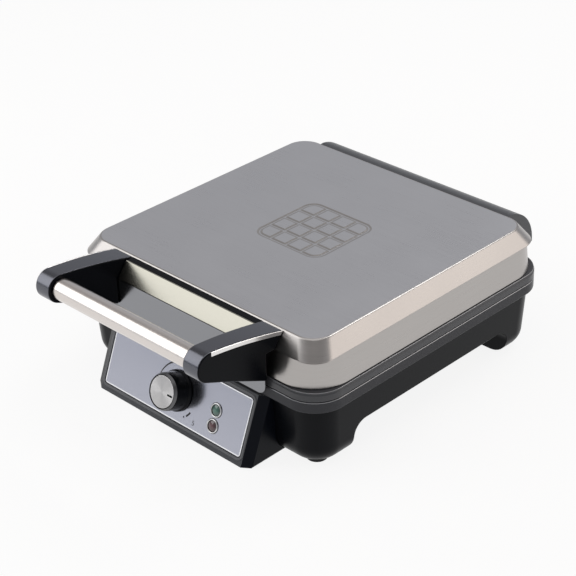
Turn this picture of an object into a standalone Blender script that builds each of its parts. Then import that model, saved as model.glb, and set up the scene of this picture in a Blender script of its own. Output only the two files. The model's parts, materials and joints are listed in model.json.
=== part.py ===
"""Belgian waffle maker: square steel lid on a rear hinge, black base on four legs, front dial panel.

Metres, +Z up, standing on z = 0. The front of the appliance faces -Y and its right side +X. The lid turns
about the two rear hinge pins and the dial turns about the normal of the sloping front panel.
"""

import math

import bmesh
import bpy
from mathutils import Matrix, Vector

# Fits
GAP = 0.0003
OVERRUN = 0.004
CORNER_STEPS = 5
ROUND_STEPS = 24
SMALL_STEPS = 16
MERGE_DISTANCE = 0.00001

# Lid cover, a pressed steel tub whose top face reaches past the grid plates by two margins
LID_SIDE_MARGIN = 0.0135
LID_END_MARGIN = 0.012
LID_TOP_Z = 0.111
LID_CORNER = 0.017
LID_EDGE_ROUND = 0.0012
LID_EDGE_FALL = 0.0007
BEVEL_OUT = 0.0095
BEVEL_DROP = 0.0137
BEVEL_CORNER = 0.019
LEDGE_DROP = 0.0006
BAND_OUT = 0.0125
BAND_DROP = 0.0372
BAND_CORNER_TOP = 0.029
BAND_CORNER_FOOT = 0.034
LID_SHEET = 0.0012

# Rims of the lid frame and of the base, which meet at the seam
RIM_OUT = 0.0143
RIM_CORNER = 0.0275
RIM_ROUND = 0.0012
LID_FRAME_HEIGHT = 0.0078
SEAM = 0.0006
BASE_RIM_HEIGHT = 0.0094

# Base shell
WALL_STEP = 0.0045
WALL_DRAFT = 0.0023
WALL_CORNER = 0.024
WALL = 0.003
LEG_ROUND = 0.0168
LEG_ROUND_STEPS = 5
SHELL_LIFT = 0.0008
ARCH_HEIGHT = 0.0275
ARCH_ROUND = 0.0125
FRONT_LEG_DEPTH = 0.0431
REAR_LEG_DEPTH = 0.0381
LEG_WIDTH = 0.0468
FLOOR = 0.0033
LEG_FLOOR = 0.0047
LEG_WALL = 0.0105
LEG_POCKET_CORNER = 0.009
ACCESS_WIDTH = 0.150
ACCESS_DEPTH = 0.090

# Rubber feet
FOOT_RADIUS = 0.0085
FOOT_HEIGHT = 0.0028
FOOT_INSET = 0.0191

# Bottom cover and its screws
COVER_LAP = 0.010
COVER_SHEET = 0.0018
COVER_CORNER = 0.008
VENT_LENGTH = 0.040
VENT_WIDTH = 0.003
VENT_PITCH = 0.008
VENT_COUNT = 5
VENT_STEPS = 3
SCREW_HEAD_RADIUS = 0.0032
SCREW_HEAD = 0.0012
SCREW_CROWN_RADIUS = 0.0022
SCREW_SHANK_RADIUS = 0.0014
SCREW_SHANK = 0.0042
SCREW_INSET = 0.0055

# Grid plates: each has four fields of four by four blunt pyramids
PLATE_WIDTH = 0.223
PLATE_DEPTH = 0.223
PLATE_CORNER = 0.010
PLATE_THICK = 0.017
PLATE_WEB = 0.006
PLATE_FLANGE_OUT = 0.0045
PLATE_FLANGE = 0.0025
PLATE_FLANGE_DROP = 0.0013
FIELDS = 2
PYRAMIDS = 4
FIELD_WALL = 0.006
FIELD_DEPTH = 0.0115
FIELD_DRAFT = 0.0022
PYRAMID_BASE = 0.0195
PYRAMID_TOP = 0.0115
LOWER_PLATE_BELOW_SEAM = 0.0033

# Heating elements, reflectors and posts
ELEMENT_RADIUS = 0.00325
ELEMENT_INSET = 0.026
ELEMENT_BEND = 0.030
ELEMENT_LEAD_X = 0.016
ELEMENT_LEAD = 0.012
ELEMENT_STEPS = 6
REFLECTOR_SHEET = 0.0008
REFLECTOR_INSET = 0.0075
REFLECTOR_FLARE = 0.003
REFLECTOR_DEPTH = 0.0090
REFLECTOR_CORNER = 0.012
POST_RADIUS = 0.003
POST_INSET = 0.0035
POST_FORWARD = 0.060
FUSE_RADIUS = 0.0025
FUSE_LENGTH = 0.020

# Deck between the base rim and the lower grid plate
DECK_SHEET = 0.002
DECK_FALL = 0.002
DECK_BELOW_RIM = 0.0003

# Control housing, which slopes back as it rises
HOUSING_WIDTH = 0.163
HOUSING_CHAMFER = 0.0078
HOUSING_CHAMFER_DEPTH = 0.0049
HOUSING_CORNER_CUT = 0.0010
HOUSING_CORNER_RISE = 0.0015
HOUSING_REACH = 0.039
HOUSING_TILT = math.radians(22.0)
HOUSING_LIFT = 0.0006
HOUSING_WALL = 0.0025
HOUSING_BACK_INTO_BASE = 0.020
WINDOW_WIDTH = 0.110
WINDOW_HIGH = 0.050

# Steel plate on the housing's front, with lamps and dial
PANEL_WIDTH = 0.1566
PANEL_HEIGHT = 0.0476
PANEL_UP = 0.007
PANEL_CORNER = 0.0025
PANEL_SHEET = 0.0012
PANEL_PROUD = 0.0004
LAMP_X = 0.045
READY_UP = 0.0320
POWER_UP = 0.0190
LENS_RADIUS = 0.0045
LENS_DOME = 0.0012
BEZEL_WALL = 0.0011
BEZEL_PROUD = 0.0010
BEZEL_LENGTH = 0.006
LAMP_BODY_RADIUS = 0.0038
LAMP_BODY_LENGTH = 0.009

# Dial
DIAL_X = 0.0009
DIAL_UP = 0.0308
DIAL_RADIUS = 0.0156
DIAL_HEIGHT = 0.0165
DIAL_DRAFT = 0.0005
DIAL_EDGE_OUT = 0.0014
DIAL_EDGE_DOWN = 0.0024
DIAL_LIFT = 0.0008
DIAL_SKIRT = 0.0011
DIAL_SKIRT_HEIGHT = 0.0022
CAP_RADIUS = 0.0130
CAP_SHEET = 0.0012
CAP_SINK = 0.0004
POINTER_LENGTH = 0.0055
POINTER_WIDTH = 0.0013
POINTER_PROUD = 0.0003
POINTER_OUT = 0.0062
SHAFT_RADIUS = 0.003
SHAFT_IN_DIAL = 0.009
SHAFT_IN_THERMOSTAT = 0.006
SHAFT_HOLE_RADIUS = 0.0045
THERMOSTAT_RADIUS = 0.011
THERMOSTAT_LENGTH = 0.012

# Mains inlet and terminals inside the base
GLAND_X = 0.038
GLAND_Z = 0.044
GLAND_RADIUS = 0.0058
GLAND_FLANGE_RADIUS = 0.0085
GLAND_FLANGE = 0.0026
GLAND_BORE_RADIUS = 0.0036
TERMINAL_LENGTH = 0.042
TERMINAL_WIDTH = 0.014
TERMINAL_HEIGHT = 0.012
TERMINAL_GROOVE = 0.0016
TERMINAL_POLES = 3

# Hinge
HINGE_BEHIND_RIM = 0.0112
HINGE_BELOW_SEAM = 0.0051
HINGE_X = 0.087
HINGE_EYE_RADIUS = 0.0075
LID_ARM_THICK = 0.006
FORK_CHEEK = 0.0075
PIN_RADIUS = 0.003
PIN_END = 0.002
FORK_FOOT_DROP = 0.024
LID_ARM_RISE = 0.034
LID_ARM_REAR = 0.0043
LID_ARM_REAR_RISE = 0.022
LID_ARM_TAB = 0.0098

# Rear cover of the lid, a quarter-round bar over the hinges
REAR_COVER_WIDTH = 0.212
REAR_COVER_REACH = 0.0350
REAR_COVER_RISE = 0.0345
REAR_COVER_TOP_DROP = 0.0007
REAR_COVER_SKIRT = 0.002
REAR_COVER_WALL = 0.0025
REAR_COVER_STEPS = 9
REAR_COVER_START = math.radians(84.0)
REAR_COVER_INNER_START = math.radians(64.0)

# Handle arms, which rise towards the front
ARM_INSIDE = 0.0731
ARM_TAPER = 0.0025
ARM_FLARE = 0.0028
ARM_WIDTH = 0.0188
ARM_FRONT = 0.0845
ARM_NOSE_RADIUS = 0.0121
ARM_NOSE_DROP = 0.0001
ARM_NOSE_START = math.radians(86.0)
ARM_NOSE_END = math.radians(250.0)
ARM_TOP_DROP = 0.0004
ARM_CROWN = 0.0014
ARM_HEEL_DROP = 0.0368
ARM_BELLY_OUT = 0.0530
ARM_BELLY_DROP = 0.0213
ARM_EDGE = 0.0012
ARM_TOP_STEPS = 5
NOSE_STEPS = 9
TRIM_THICK = 0.0011
TRIM_HEIGHT = 0.0036
TRIM_END = 0.0006

# Handle tube and the rod that clamps it
TUBE_RADIUS = 0.0090
TUBE_WALL = 0.0014
ROD_RADIUS = 0.003
ROD_IN_ARM = 0.010

# Bracket in front of the lid: black bar, sloping steel strip, upright steel apron
BAR_DEPTH = 0.0093
STRIP_OUT = 0.0186
STRIP_DROP = 0.0131
STRIP_SHEET = 0.0010
APRON_LINE = 0.0005
APRON_DROP = 0.0512
APRON_SHEET = 0.0010
APRON_INSET = 0.0012
APRON_CORNER = 0.008
CARRIER_CLEAR = 0.0011

# Levels and half sizes that follow
HALF_X = PLATE_WIDTH / 2 + LID_SIDE_MARGIN
HALF_Y = PLATE_DEPTH / 2 + LID_END_MARGIN
FRAME_TOP_Z = LID_TOP_Z - BAND_DROP - GAP
FRAME_LOW_Z = FRAME_TOP_Z - LID_FRAME_HEIGHT
RIM_TOP_Z = FRAME_LOW_Z - SEAM
RIM_LOW_Z = RIM_TOP_Z - BASE_RIM_HEIGHT
RIM_X = HALF_X + RIM_OUT
RIM_Y = HALF_Y + RIM_OUT
WALL_X = RIM_X - WALL_STEP
WALL_Y = RIM_Y - WALL_STEP
FLOOR_Z = ARCH_HEIGHT + FLOOR
CAVITY_X = WALL_X - WALL
CAVITY_Y = WALL_Y - WALL
ARCH_FRONT = WALL_Y - FRONT_LEG_DEPTH
ARCH_REAR = WALL_Y - REAR_LEG_DEPTH
ARCH_SIDE = WALL_X - LEG_WIDTH
LOWER_PLATE_Z = RIM_TOP_Z - LOWER_PLATE_BELOW_SEAM
UPPER_PLATE_Z = LOWER_PLATE_Z + PLATE_WEB
HINGE_Y = RIM_Y + HINGE_BEHIND_RIM
HINGE_Z = RIM_TOP_Z - HINGE_BELOW_SEAM
FRONT_REACH = HALF_Y + ARM_FRONT
REAR_REACH = HALF_Y + LID_EDGE_ROUND + REAR_COVER_REACH
BODY_Y = (FRONT_REACH - REAR_REACH) / 2
TUBE_OUT = ARM_FRONT - ARM_NOSE_RADIUS
TUBE_Z = LID_TOP_Z - ARM_NOSE_DROP
APRON_OUT = STRIP_OUT

# Finishes: colour, metallic, roughness
FINISHES = {
    "black_plastic": ((0.022, 0.024, 0.028, 1.0), 0.0, 0.35),
    "grey_black_plastic": ((0.075, 0.077, 0.082, 1.0), 0.0, 0.45),
    "brushed_steel": ((0.60, 0.59, 0.58, 1.0), 1.0, 0.32),
    "satin_steel": ((0.42, 0.43, 0.46, 1.0), 1.0, 0.28),
    "bright_trim": ((0.85, 0.84, 0.82, 1.0), 1.0, 0.12),
    "nonstick": ((0.030, 0.030, 0.031, 1.0), 0.0, 0.42),
    "aluminium": ((0.72, 0.73, 0.74, 1.0), 1.0, 0.38),
    "element_steel": ((0.30, 0.27, 0.25, 1.0), 1.0, 0.45),
    "zinc": ((0.62, 0.62, 0.60, 1.0), 1.0, 0.40),
    "rubber": ((0.018, 0.018, 0.018, 1.0), 0.0, 0.85),
    "green_lens": ((0.06, 0.28, 0.16, 1.0), 0.0, 0.15),
    "red_lens": ((0.22, 0.03, 0.03, 1.0), 0.0, 0.15),
    "cream_plastic": ((0.62, 0.58, 0.48, 1.0), 0.0, 0.5),
}


def finish(name):
    """The named finish as a material, made once."""
    found = bpy.data.materials.get(name)
    if found:
        return found
    colour, metallic, roughness = FINISHES[name]
    made = bpy.data.materials.new(name)
    made.use_nodes = True
    shader = made.node_tree.nodes["Principled BSDF"]
    shader.inputs["Base Color"].default_value = colour
    shader.inputs["Metallic"].default_value = metallic
    shader.inputs["Roughness"].default_value = roughness
    made.diffuse_color = colour
    return made


def smooth(mesh, angle=math.radians(35.0)):
    """Smooth shading with the corners kept sharp."""
    mesh.shade_smooth()
    mesh.set_sharp_from_angle(angle=angle)


def add_object(name, mesh, finish_name=None, parent=None, cutter=False):
    """Puts a mesh in the scene as a piece, or as a cutter when no finish is given."""
    obj = bpy.data.objects.new(name, mesh)
    if cutter:
        CUTTERS.objects.link(obj)
        obj.hide_render = True
        obj.display_type = "WIRE"
    else:
        PIECES.objects.link(obj)
        mesh.materials.append(finish(finish_name))
        smooth(mesh)
    if parent:
        obj.parent = parent
    return obj


def mesh_from(bm, name):
    """Closes a bmesh off as a mesh whose faces point out."""
    bmesh.ops.recalc_face_normals(bm, faces=bm.faces)
    mesh = bpy.data.meshes.new(name)
    bm.to_mesh(mesh)
    bm.free()
    return mesh


def ring(half_x, half_y, corner, z, steps=CORNER_STEPS):
    """The points of a rounded rectangle at height z, anticlockwise from the right side's front end."""
    points = []
    centres = (
        (half_x - corner, corner - half_y, -90),
        (half_x - corner, half_y - corner, 0),
        (corner - half_x, half_y - corner, 90),
        (corner - half_x, corner - half_y, 180),
    )
    for cx, cy, start in centres:
        for step in range(steps + 1):
            angle = math.radians(start + 90 * step / steps)
            points.append((cx + corner * math.cos(angle), cy + corner * math.sin(angle), z))
    return points


def loft(rings, name, closed=False):
    """A mesh through rings of like point counts: capped at both ends, or joined end to start when closed."""
    bm = bmesh.new()
    rows = [[bm.verts.new(point) for point in points] for points in rings]
    pairs = list(zip(rows, rows[1:]))
    if closed:
        pairs.append((rows[-1], rows[0]))
    for low, high in pairs:
        for i in range(len(low)):
            j = (i + 1) % len(low)
            bm.faces.new((low[i], low[j], high[j], high[i]))
    if not closed:
        bm.faces.new(reversed(rows[0]))
        bm.faces.new(rows[-1])
    return mesh_from(bm, name)


def prism(outline, low_x, high_x, name):
    """An outline of (y, z) points drawn out along X."""
    bm = bmesh.new()
    face = bm.faces.new([bm.verts.new((low_x, y, z)) for y, z in outline])
    drawn = bmesh.ops.extrude_face_region(bm, geom=[face])
    moved = [item for item in drawn["geom"] if isinstance(item, bmesh.types.BMVert)]
    bmesh.ops.translate(bm, vec=(high_x - low_x, 0, 0), verts=moved)
    return mesh_from(bm, name)


def block(low, high, name):
    """A box between two corners."""
    bm = bmesh.new()
    centre = (Vector(low) + Vector(high)) / 2
    size = Vector(high) - Vector(low)
    matrix = Matrix.Translation(centre) @ Matrix.Diagonal(size).to_4x4()
    bmesh.ops.create_cube(bm, size=1, matrix=matrix)
    return mesh_from(bm, name)


def cylinder(radius, start, end, name, steps=ROUND_STEPS):
    """A cylinder from one point to another."""
    bm = bmesh.new()
    start, end = Vector(start), Vector(end)
    along = end - start
    turn = along.to_track_quat("Z", "Y").to_matrix().to_4x4()
    matrix = Matrix.Translation((start + end) / 2) @ turn
    bmesh.ops.create_cone(
        bm, cap_ends=True, segments=steps, radius1=radius, radius2=radius, depth=along.length, matrix=matrix
    )
    return mesh_from(bm, name)


def turned(name, profile, finish_name, parent, steps=ROUND_STEPS):
    """A profile of (radius, height) points, top to bottom on the outer side, turned about Z."""
    mesh = bpy.data.meshes.new(name)
    edges = [(i, i + 1) for i in range(len(profile) - 1)]
    mesh.from_pydata([(radius, 0, height) for radius, height in profile], edges, [])
    if profile[0][0] > 0:
        bm = bmesh.new()
        bm.from_mesh(mesh)
        bm.verts.ensure_lookup_table()
        bm.edges.new((bm.verts[-1], bm.verts[0]))
        bm.to_mesh(mesh)
        bm.free()
    obj = add_object(name, mesh, finish_name, parent)
    screw = obj.modifiers.new("Turn", "SCREW")
    screw.steps = steps
    screw.render_steps = steps
    screw.use_merge_vertices = True
    screw.merge_threshold = MERGE_DISTANCE
    return obj


def cut(obj, mesh, operation="DIFFERENCE", parent=None):
    """Takes a mesh away from a piece, or joins it on."""
    tool = add_object(mesh.name, mesh, parent=parent or obj.parent, cutter=True)
    modifier = obj.modifiers.new(mesh.name, "BOOLEAN")
    modifier.operation = operation
    modifier.object = tool
    modifier.solver = "EXACT"
    return tool


def soften(obj, width, segments=1, angle=math.radians(40.0)):
    """Rounds a piece's edges."""
    bevel = obj.modifiers.new("Edges", "BEVEL")
    bevel.width = width
    bevel.segments = segments
    bevel.limit_method = "ANGLE"
    bevel.angle_limit = angle
    bevel.use_clamp_overlap = True


def plane_curve(name, outlines, thickness, finish_name, parent):
    """A flat sheet from closed outlines of (x, y) points: the first is its edge, the others are holes."""
    curve = bpy.data.curves.new(name, "CURVE")
    curve.dimensions = "2D"
    curve.fill_mode = "BOTH"
    curve.extrude = thickness / 2
    for outline in outlines:
        spline = curve.splines.new("POLY")
        spline.points.add(len(outline) - 1)
        spline.use_cyclic_u = True
        for point, (x, y) in zip(spline.points, outline):
            point.co = (x, y, 0, 1)
    obj = bpy.data.objects.new(name, curve)
    PIECES.objects.link(obj)
    curve.materials.append(finish(finish_name))
    obj.parent = parent
    return obj


def circle(x, y, radius, steps=ROUND_STEPS):
    """Points round a circle."""
    turns = [2 * math.pi * step / steps for step in range(steps)]
    return [(x + radius * math.cos(turn), y + radius * math.sin(turn)) for turn in turns]


def base_form(grow, name):
    """The solid outer form of the base, grown by a clearance."""
    wall_low_x = WALL_X - WALL_DRAFT
    wall_low_y = WALL_Y - WALL_DRAFT
    rings = []
    for turn in quarter_turns(LEG_ROUND_STEPS):
        tuck = LEG_ROUND * (1 - math.sin(turn))
        rise = LEG_ROUND * (1 - math.cos(turn))
        low = SHELL_LIFT - grow + rise
        out = grow - tuck
        rings.append(ring(wall_low_x + out, wall_low_y + out, WALL_CORNER + out, low))
    rings.append(ring(WALL_X + grow, WALL_Y + grow, WALL_CORNER + grow, RIM_LOW_Z - grow))
    rings.append(ring(RIM_X - RIM_ROUND + grow, RIM_Y - RIM_ROUND + grow, RIM_CORNER + grow, RIM_LOW_Z - grow))
    rings.append(ring(RIM_X + grow, RIM_Y + grow, RIM_CORNER + grow, RIM_LOW_Z + RIM_ROUND))
    rings.append(ring(RIM_X + grow, RIM_Y + grow, RIM_CORNER + grow, RIM_TOP_Z - RIM_ROUND / 2))
    rings.append(ring(RIM_X - RIM_ROUND / 2, RIM_Y - RIM_ROUND / 2, RIM_CORNER, RIM_TOP_Z))
    return loft(rings, name)


def arch_outline(low, high, top):
    """An arch from one place to another along a wall, open below the floor, with rounded top corners."""
    below = -OVERRUN
    points = [(high, below)]
    for centre, start in ((high - ARCH_ROUND, 0), (low + ARCH_ROUND, 90)):
        for step in range(CORNER_STEPS + 1):
            angle = math.radians(start + 90 * step / CORNER_STEPS)
            height = top - ARCH_ROUND + ARCH_ROUND * math.sin(angle)
            points.append((centre + ARCH_ROUND * math.cos(angle), height))
    points.append((low, below))
    return points


def leg_places():
    """Each leg's name, its side signs and its inner edge along Y."""
    for y_name, y_sign, inner_y in (("front", -1, ARCH_FRONT), ("rear", 1, ARCH_REAR)):
        for x_name, x_sign in (("left", -1), ("right", 1)):
            yield f"{y_name}_{x_name}", x_sign, y_sign, inner_y


def make_base_shell(base):
    """Moulded base: rim, walls, four hollow legs, floor with an access window."""
    shell = add_object("base_shell", base_form(0, "base_shell"), "black_plastic", base)
    cavity = loft(
        [
            ring(CAVITY_X - WALL_DRAFT, CAVITY_Y - WALL_DRAFT, WALL_CORNER - WALL, FLOOR_Z),
            ring(CAVITY_X, CAVITY_Y, WALL_CORNER - WALL, RIM_TOP_Z + OVERRUN),
        ],
        "cavity",
    )
    cut(shell, cavity)
    side_arch = prism(arch_outline(-ARCH_FRONT, ARCH_REAR, ARCH_HEIGHT), -RIM_X, RIM_X, "side_arch")
    cut(shell, side_arch)
    rear_outline = arch_outline(-ARCH_SIDE, ARCH_SIDE, ARCH_HEIGHT)
    rear_arch = prism(rear_outline, 0, RIM_Y, "rear_arch")
    tool = cut(shell, rear_arch)
    tool.rotation_euler = (0, 0, math.radians(90))
    pocket_x = WALL_X - WALL_DRAFT - LEG_WALL
    pocket_y = WALL_Y - WALL_DRAFT - LEG_WALL
    for name, x_sign, y_sign, inner_y in leg_places():
        half_x = (pocket_x - ARCH_SIDE - WALL) / 2
        half_y = (pocket_y - inner_y - WALL) / 2
        heights = (SHELL_LIFT + LEG_FLOOR, FLOOR_Z + OVERRUN)
        rings = [ring(half_x, half_y, LEG_POCKET_CORNER, z) for z in heights]
        pocket = cut(shell, loft(rings, f"leg_pocket_{name}"))
        pocket.location = (x_sign * (pocket_x - half_x), y_sign * (pocket_y - half_y), 0)
        x, y = foot_place(x_sign, y_sign)
        recess_top = FOOT_HEIGHT + GAP
        recess = cylinder(FOOT_RADIUS + GAP, (x, y, -OVERRUN), (x, y, recess_top), f"foot_recess_{name}")
        cut(shell, recess)
    access_low = (-ACCESS_WIDTH / 2, -ACCESS_DEPTH / 2, ARCH_HEIGHT - OVERRUN)
    access_high = (ACCESS_WIDTH / 2, ACCESS_DEPTH / 2, FLOOR_Z + OVERRUN)
    cut(shell, block(access_low, access_high, "access_window"))
    window_low = (-WINDOW_WIDTH / 2, -WALL_Y - OVERRUN, FLOOR_Z)
    window_high = (WINDOW_WIDTH / 2, -CAVITY_Y + OVERRUN, WINDOW_HIGH)
    cut(shell, block(window_low, window_high, "front_window"))
    gland_start = (GLAND_X, CAVITY_Y - OVERRUN, GLAND_Z)
    gland_end = (GLAND_X, WALL_Y + OVERRUN, GLAND_Z)
    cut(shell, cylinder(GLAND_RADIUS + GAP, gland_start, gland_end, "gland_hole"))
    return shell


def foot_place(x_sign, y_sign):
    """The centre of the rubber foot under one leg."""
    x = WALL_X - WALL_DRAFT - FOOT_INSET
    y = WALL_Y - WALL_DRAFT - FOOT_INSET
    return x_sign * x, y_sign * y


def make_feet(base):
    """Four rubber feet pressed into the legs."""
    for name, x_sign, y_sign, _ in leg_places():
        edge = FOOT_HEIGHT / 4
        profile = (
            (0, FOOT_HEIGHT),
            (FOOT_RADIUS, FOOT_HEIGHT),
            (FOOT_RADIUS, edge),
            (FOOT_RADIUS - edge, 0),
            (0, 0),
        )
        foot = turned(f"foot_{name}", profile, "rubber", base, SMALL_STEPS)
        x, y = foot_place(x_sign, y_sign)
        foot.location = (x, y, 0)


def make_bottom_cover(base):
    """Access cover under the floor, with vents and four screws."""
    half_x = ACCESS_WIDTH / 2 + COVER_LAP
    half_y = ACCESS_DEPTH / 2 + COVER_LAP
    screw_hole = SCREW_SHANK_RADIUS + GAP
    outlines = [[(x, y) for x, y, _ in ring(half_x, half_y, COVER_CORNER, 0)]]
    first = -VENT_PITCH * (VENT_COUNT - 1) / 2
    for i in range(VENT_COUNT):
        y = first + VENT_PITCH * i
        vent = ring(VENT_LENGTH / 2, VENT_WIDTH / 2, VENT_WIDTH / 2, 0, VENT_STEPS)
        outlines.append([(px, y + py) for px, py, _ in vent])
    places = {}
    for y_name, y_sign in (("front", -1), ("rear", 1)):
        for x_name, x_sign in (("left", -1), ("right", 1)):
            places[f"{y_name}_{x_name}"] = (x_sign * (half_x - SCREW_INSET), y_sign * (half_y - SCREW_INSET))
    outlines += [circle(x, y, screw_hole, SMALL_STEPS) for x, y in places.values()]
    cover = plane_curve("bottom_cover", outlines, COVER_SHEET, "black_plastic", base)
    cover_low = ARCH_HEIGHT - GAP - COVER_SHEET
    cover.location = (0, 0, cover_low + COVER_SHEET / 2)
    shell = bpy.data.objects["base_shell"]
    for name, (x, y) in places.items():
        head_top = cover_low - GAP
        profile = (
            (0, SCREW_SHANK),
            (SCREW_SHANK_RADIUS, SCREW_SHANK),
            (SCREW_SHANK_RADIUS, 0),
            (SCREW_HEAD_RADIUS, 0),
            (SCREW_HEAD_RADIUS, -SCREW_HEAD / 2),
            (SCREW_CROWN_RADIUS, -SCREW_HEAD),
            (0, -SCREW_HEAD),
        )
        screw = turned(f"bottom_screw_{name}", profile, "zinc", base, SMALL_STEPS)
        screw.location = (x, y, head_top)
        start = (x, y, ARCH_HEIGHT - OVERRUN)
        end = (x, y, FLOOR_Z + OVERRUN)
        cut(shell, cylinder(screw_hole, start, end, f"screw_hole_{name}", SMALL_STEPS), parent=base)


def frustum(bm, x, y, low_side, high_side, low_z, high_z):
    """A square frustum between two heights, added to a bmesh."""
    matrix = Matrix.Translation((x, y, (low_z + high_z) / 2)) @ Matrix.Rotation(math.radians(45), 4, "Z")
    bmesh.ops.create_cone(
        bm,
        cap_ends=True,
        segments=4,
        radius1=low_side / math.sqrt(2),
        radius2=high_side / math.sqrt(2),
        depth=high_z - low_z,
        matrix=matrix,
    )


def make_grid_plate(name, parent):
    """A cast plate whose cooking face is local z = 0: four pockets, each with rows of blunt pyramids."""
    half_x, half_y = PLATE_WIDTH / 2, PLATE_DEPTH / 2
    flange_x, flange_y = half_x + PLATE_FLANGE_OUT, half_y + PLATE_FLANGE_OUT
    flange_corner = PLATE_CORNER + PLATE_FLANGE_OUT
    flange_top = -PLATE_FLANGE_DROP
    flange_low = flange_top - PLATE_FLANGE
    body = loft(
        [
            ring(half_x, half_y, PLATE_CORNER, -PLATE_THICK),
            ring(half_x, half_y, PLATE_CORNER, flange_low),
            ring(flange_x, flange_y, flange_corner, flange_low),
            ring(flange_x, flange_y, flange_corner, flange_top),
            ring(half_x, half_y, PLATE_CORNER, flange_top),
            ring(half_x, half_y, PLATE_CORNER, 0),
        ],
        name,
    )
    plate = add_object(name, body, "nonstick", parent)
    field = (PLATE_WIDTH - FIELD_WALL * (FIELDS + 1)) / FIELDS
    floor = -FIELD_DEPTH
    pockets = bmesh.new()
    pyramids = bmesh.new()
    sink = FIELD_WALL / 10
    slope = FIELD_DRAFT / FIELD_DEPTH
    for i in range(FIELDS):
        for j in range(FIELDS):
            x = (i - (FIELDS - 1) / 2) * (field + FIELD_WALL)
            y = (j - (FIELDS - 1) / 2) * (field + FIELD_WALL)
            low_side = field - 2 * FIELD_DRAFT
            high_side = field + 2 * OVERRUN * slope
            frustum(pockets, x, y, low_side, high_side, floor, OVERRUN)
            pitch = low_side / PYRAMIDS
            for k in range(PYRAMIDS):
                for m in range(PYRAMIDS):
                    px = x + (k - (PYRAMIDS - 1) / 2) * pitch
                    py = y + (m - (PYRAMIDS - 1) / 2) * pitch
                    frustum(pyramids, px, py, PYRAMID_BASE, PYRAMID_TOP, floor - sink, 0)
    cut(plate, mesh_from(pockets, f"{name}_pockets"), parent=parent)
    cut(plate, mesh_from(pyramids, f"{name}_pyramids"), "UNION", parent=parent)
    return plate


def place_plate(plate, z, flip):
    """Sets a grid plate and the shapes cut into it at their height, face up or face down."""
    for obj in [plate] + [modifier.object for modifier in plate.modifiers if modifier.type == "BOOLEAN"]:
        obj.location = (0, 0, z)
        obj.rotation_euler = (math.radians(180) if flip else 0, 0, 0)


def make_element(name, parent, z, lead_sign):
    """A tubular heating element: one loop along the plate with two leads at one end."""
    half_x = PLATE_WIDTH / 2 - ELEMENT_INSET
    half_y = PLATE_DEPTH / 2 - ELEMENT_INSET
    path = [(x, y) for x, y, _ in ring(half_x, half_y, ELEMENT_BEND, 0, ELEMENT_STEPS)]
    quarter = ELEMENT_STEPS + 1
    right_side = path[quarter : 2 * quarter][::-1] + path[:quarter][::-1]
    left_side = path[3 * quarter :][::-1] + path[2 * quarter : 3 * quarter][::-1]
    points = [(ELEMENT_LEAD_X, half_y + ELEMENT_LEAD), (ELEMENT_LEAD_X, half_y)]
    points += right_side + left_side
    points += [(-ELEMENT_LEAD_X, half_y), (-ELEMENT_LEAD_X, half_y + ELEMENT_LEAD)]
    curve = bpy.data.curves.new(name, "CURVE")
    curve.dimensions = "3D"
    curve.bevel_depth = ELEMENT_RADIUS
    curve.bevel_resolution = 2
    curve.use_fill_caps = True
    spline = curve.splines.new("POLY")
    spline.points.add(len(points) - 1)
    for point, (x, y) in zip(spline.points, points):
        point.co = (x, lead_sign * y, 0, 1)
    obj = bpy.data.objects.new(name, curve)
    PIECES.objects.link(obj)
    curve.materials.append(finish("element_steel"))
    obj.parent = parent
    obj.location = (0, 0, z)
    return obj


def make_reflector(name, parent, rim_z, depth_sign):
    """A folded aluminium tray that opens towards its grid plate."""
    half_x = PLATE_WIDTH / 2 - REFLECTOR_INSET
    half_y = PLATE_DEPTH / 2 - REFLECTOR_INSET
    rings = []
    floor_z = rim_z + depth_sign * REFLECTOR_DEPTH
    inner_floor_z = floor_z - depth_sign * REFLECTOR_SHEET
    sheet = REFLECTOR_SHEET
    low_x, low_y = half_x - REFLECTOR_FLARE, half_y - REFLECTOR_FLARE
    rings.append(ring(low_x - sheet, low_y - sheet, REFLECTOR_CORNER, inner_floor_z))
    rings.append(ring(half_x - sheet, half_y - sheet, REFLECTOR_CORNER, rim_z))
    rings.append(ring(half_x, half_y, REFLECTOR_CORNER + sheet, rim_z))
    rings.append(ring(low_x, low_y, REFLECTOR_CORNER + sheet, floor_z))
    return add_object(name, loft(rings, name), "aluminium", parent)


def make_posts(base):
    """Posts that carry the lower grid plate on the base floor."""
    top = LOWER_PLATE_Z - PLATE_THICK - GAP
    low = FLOOR_Z + GAP
    x = PLATE_WIDTH / 2 - POST_INSET
    for x_name, x_sign in (("left", -1), ("right", 1)):
        for y_name, y_sign in (("front", -1), ("rear", 1)):
            name = f"plate_post_{y_name}_{x_name}"
            start = (x_sign * x, y_sign * POST_FORWARD, low)
            end = (x_sign * x, y_sign * POST_FORWARD, top)
            add_object(name, cylinder(POST_RADIUS, start, end, name, SMALL_STEPS), "zinc", base)


def make_deck(base):
    """The frame round the lower grid plate, falling slightly inwards to it."""
    outer_x, outer_y = CAVITY_X - GAP - WALL_DRAFT / 2, CAVITY_Y - GAP - WALL_DRAFT / 2
    inner_x, inner_y = PLATE_WIDTH / 2 + 2 * GAP, PLATE_DEPTH / 2 + 2 * GAP
    outer_corner = WALL_CORNER - WALL
    inner_corner = PLATE_CORNER + 2 * GAP
    outer_top = RIM_TOP_Z - DECK_BELOW_RIM
    inner_top = outer_top - DECK_FALL
    rings = [
        ring(inner_x, inner_y, inner_corner, inner_top - DECK_SHEET),
        ring(outer_x, outer_y, outer_corner, outer_top - DECK_SHEET),
        ring(outer_x, outer_y, outer_corner, outer_top),
        ring(inner_x, inner_y, inner_corner, inner_top),
    ]
    return add_object("plate_deck", loft(rings, "plate_deck", closed=True), "grey_black_plastic", base)


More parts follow.
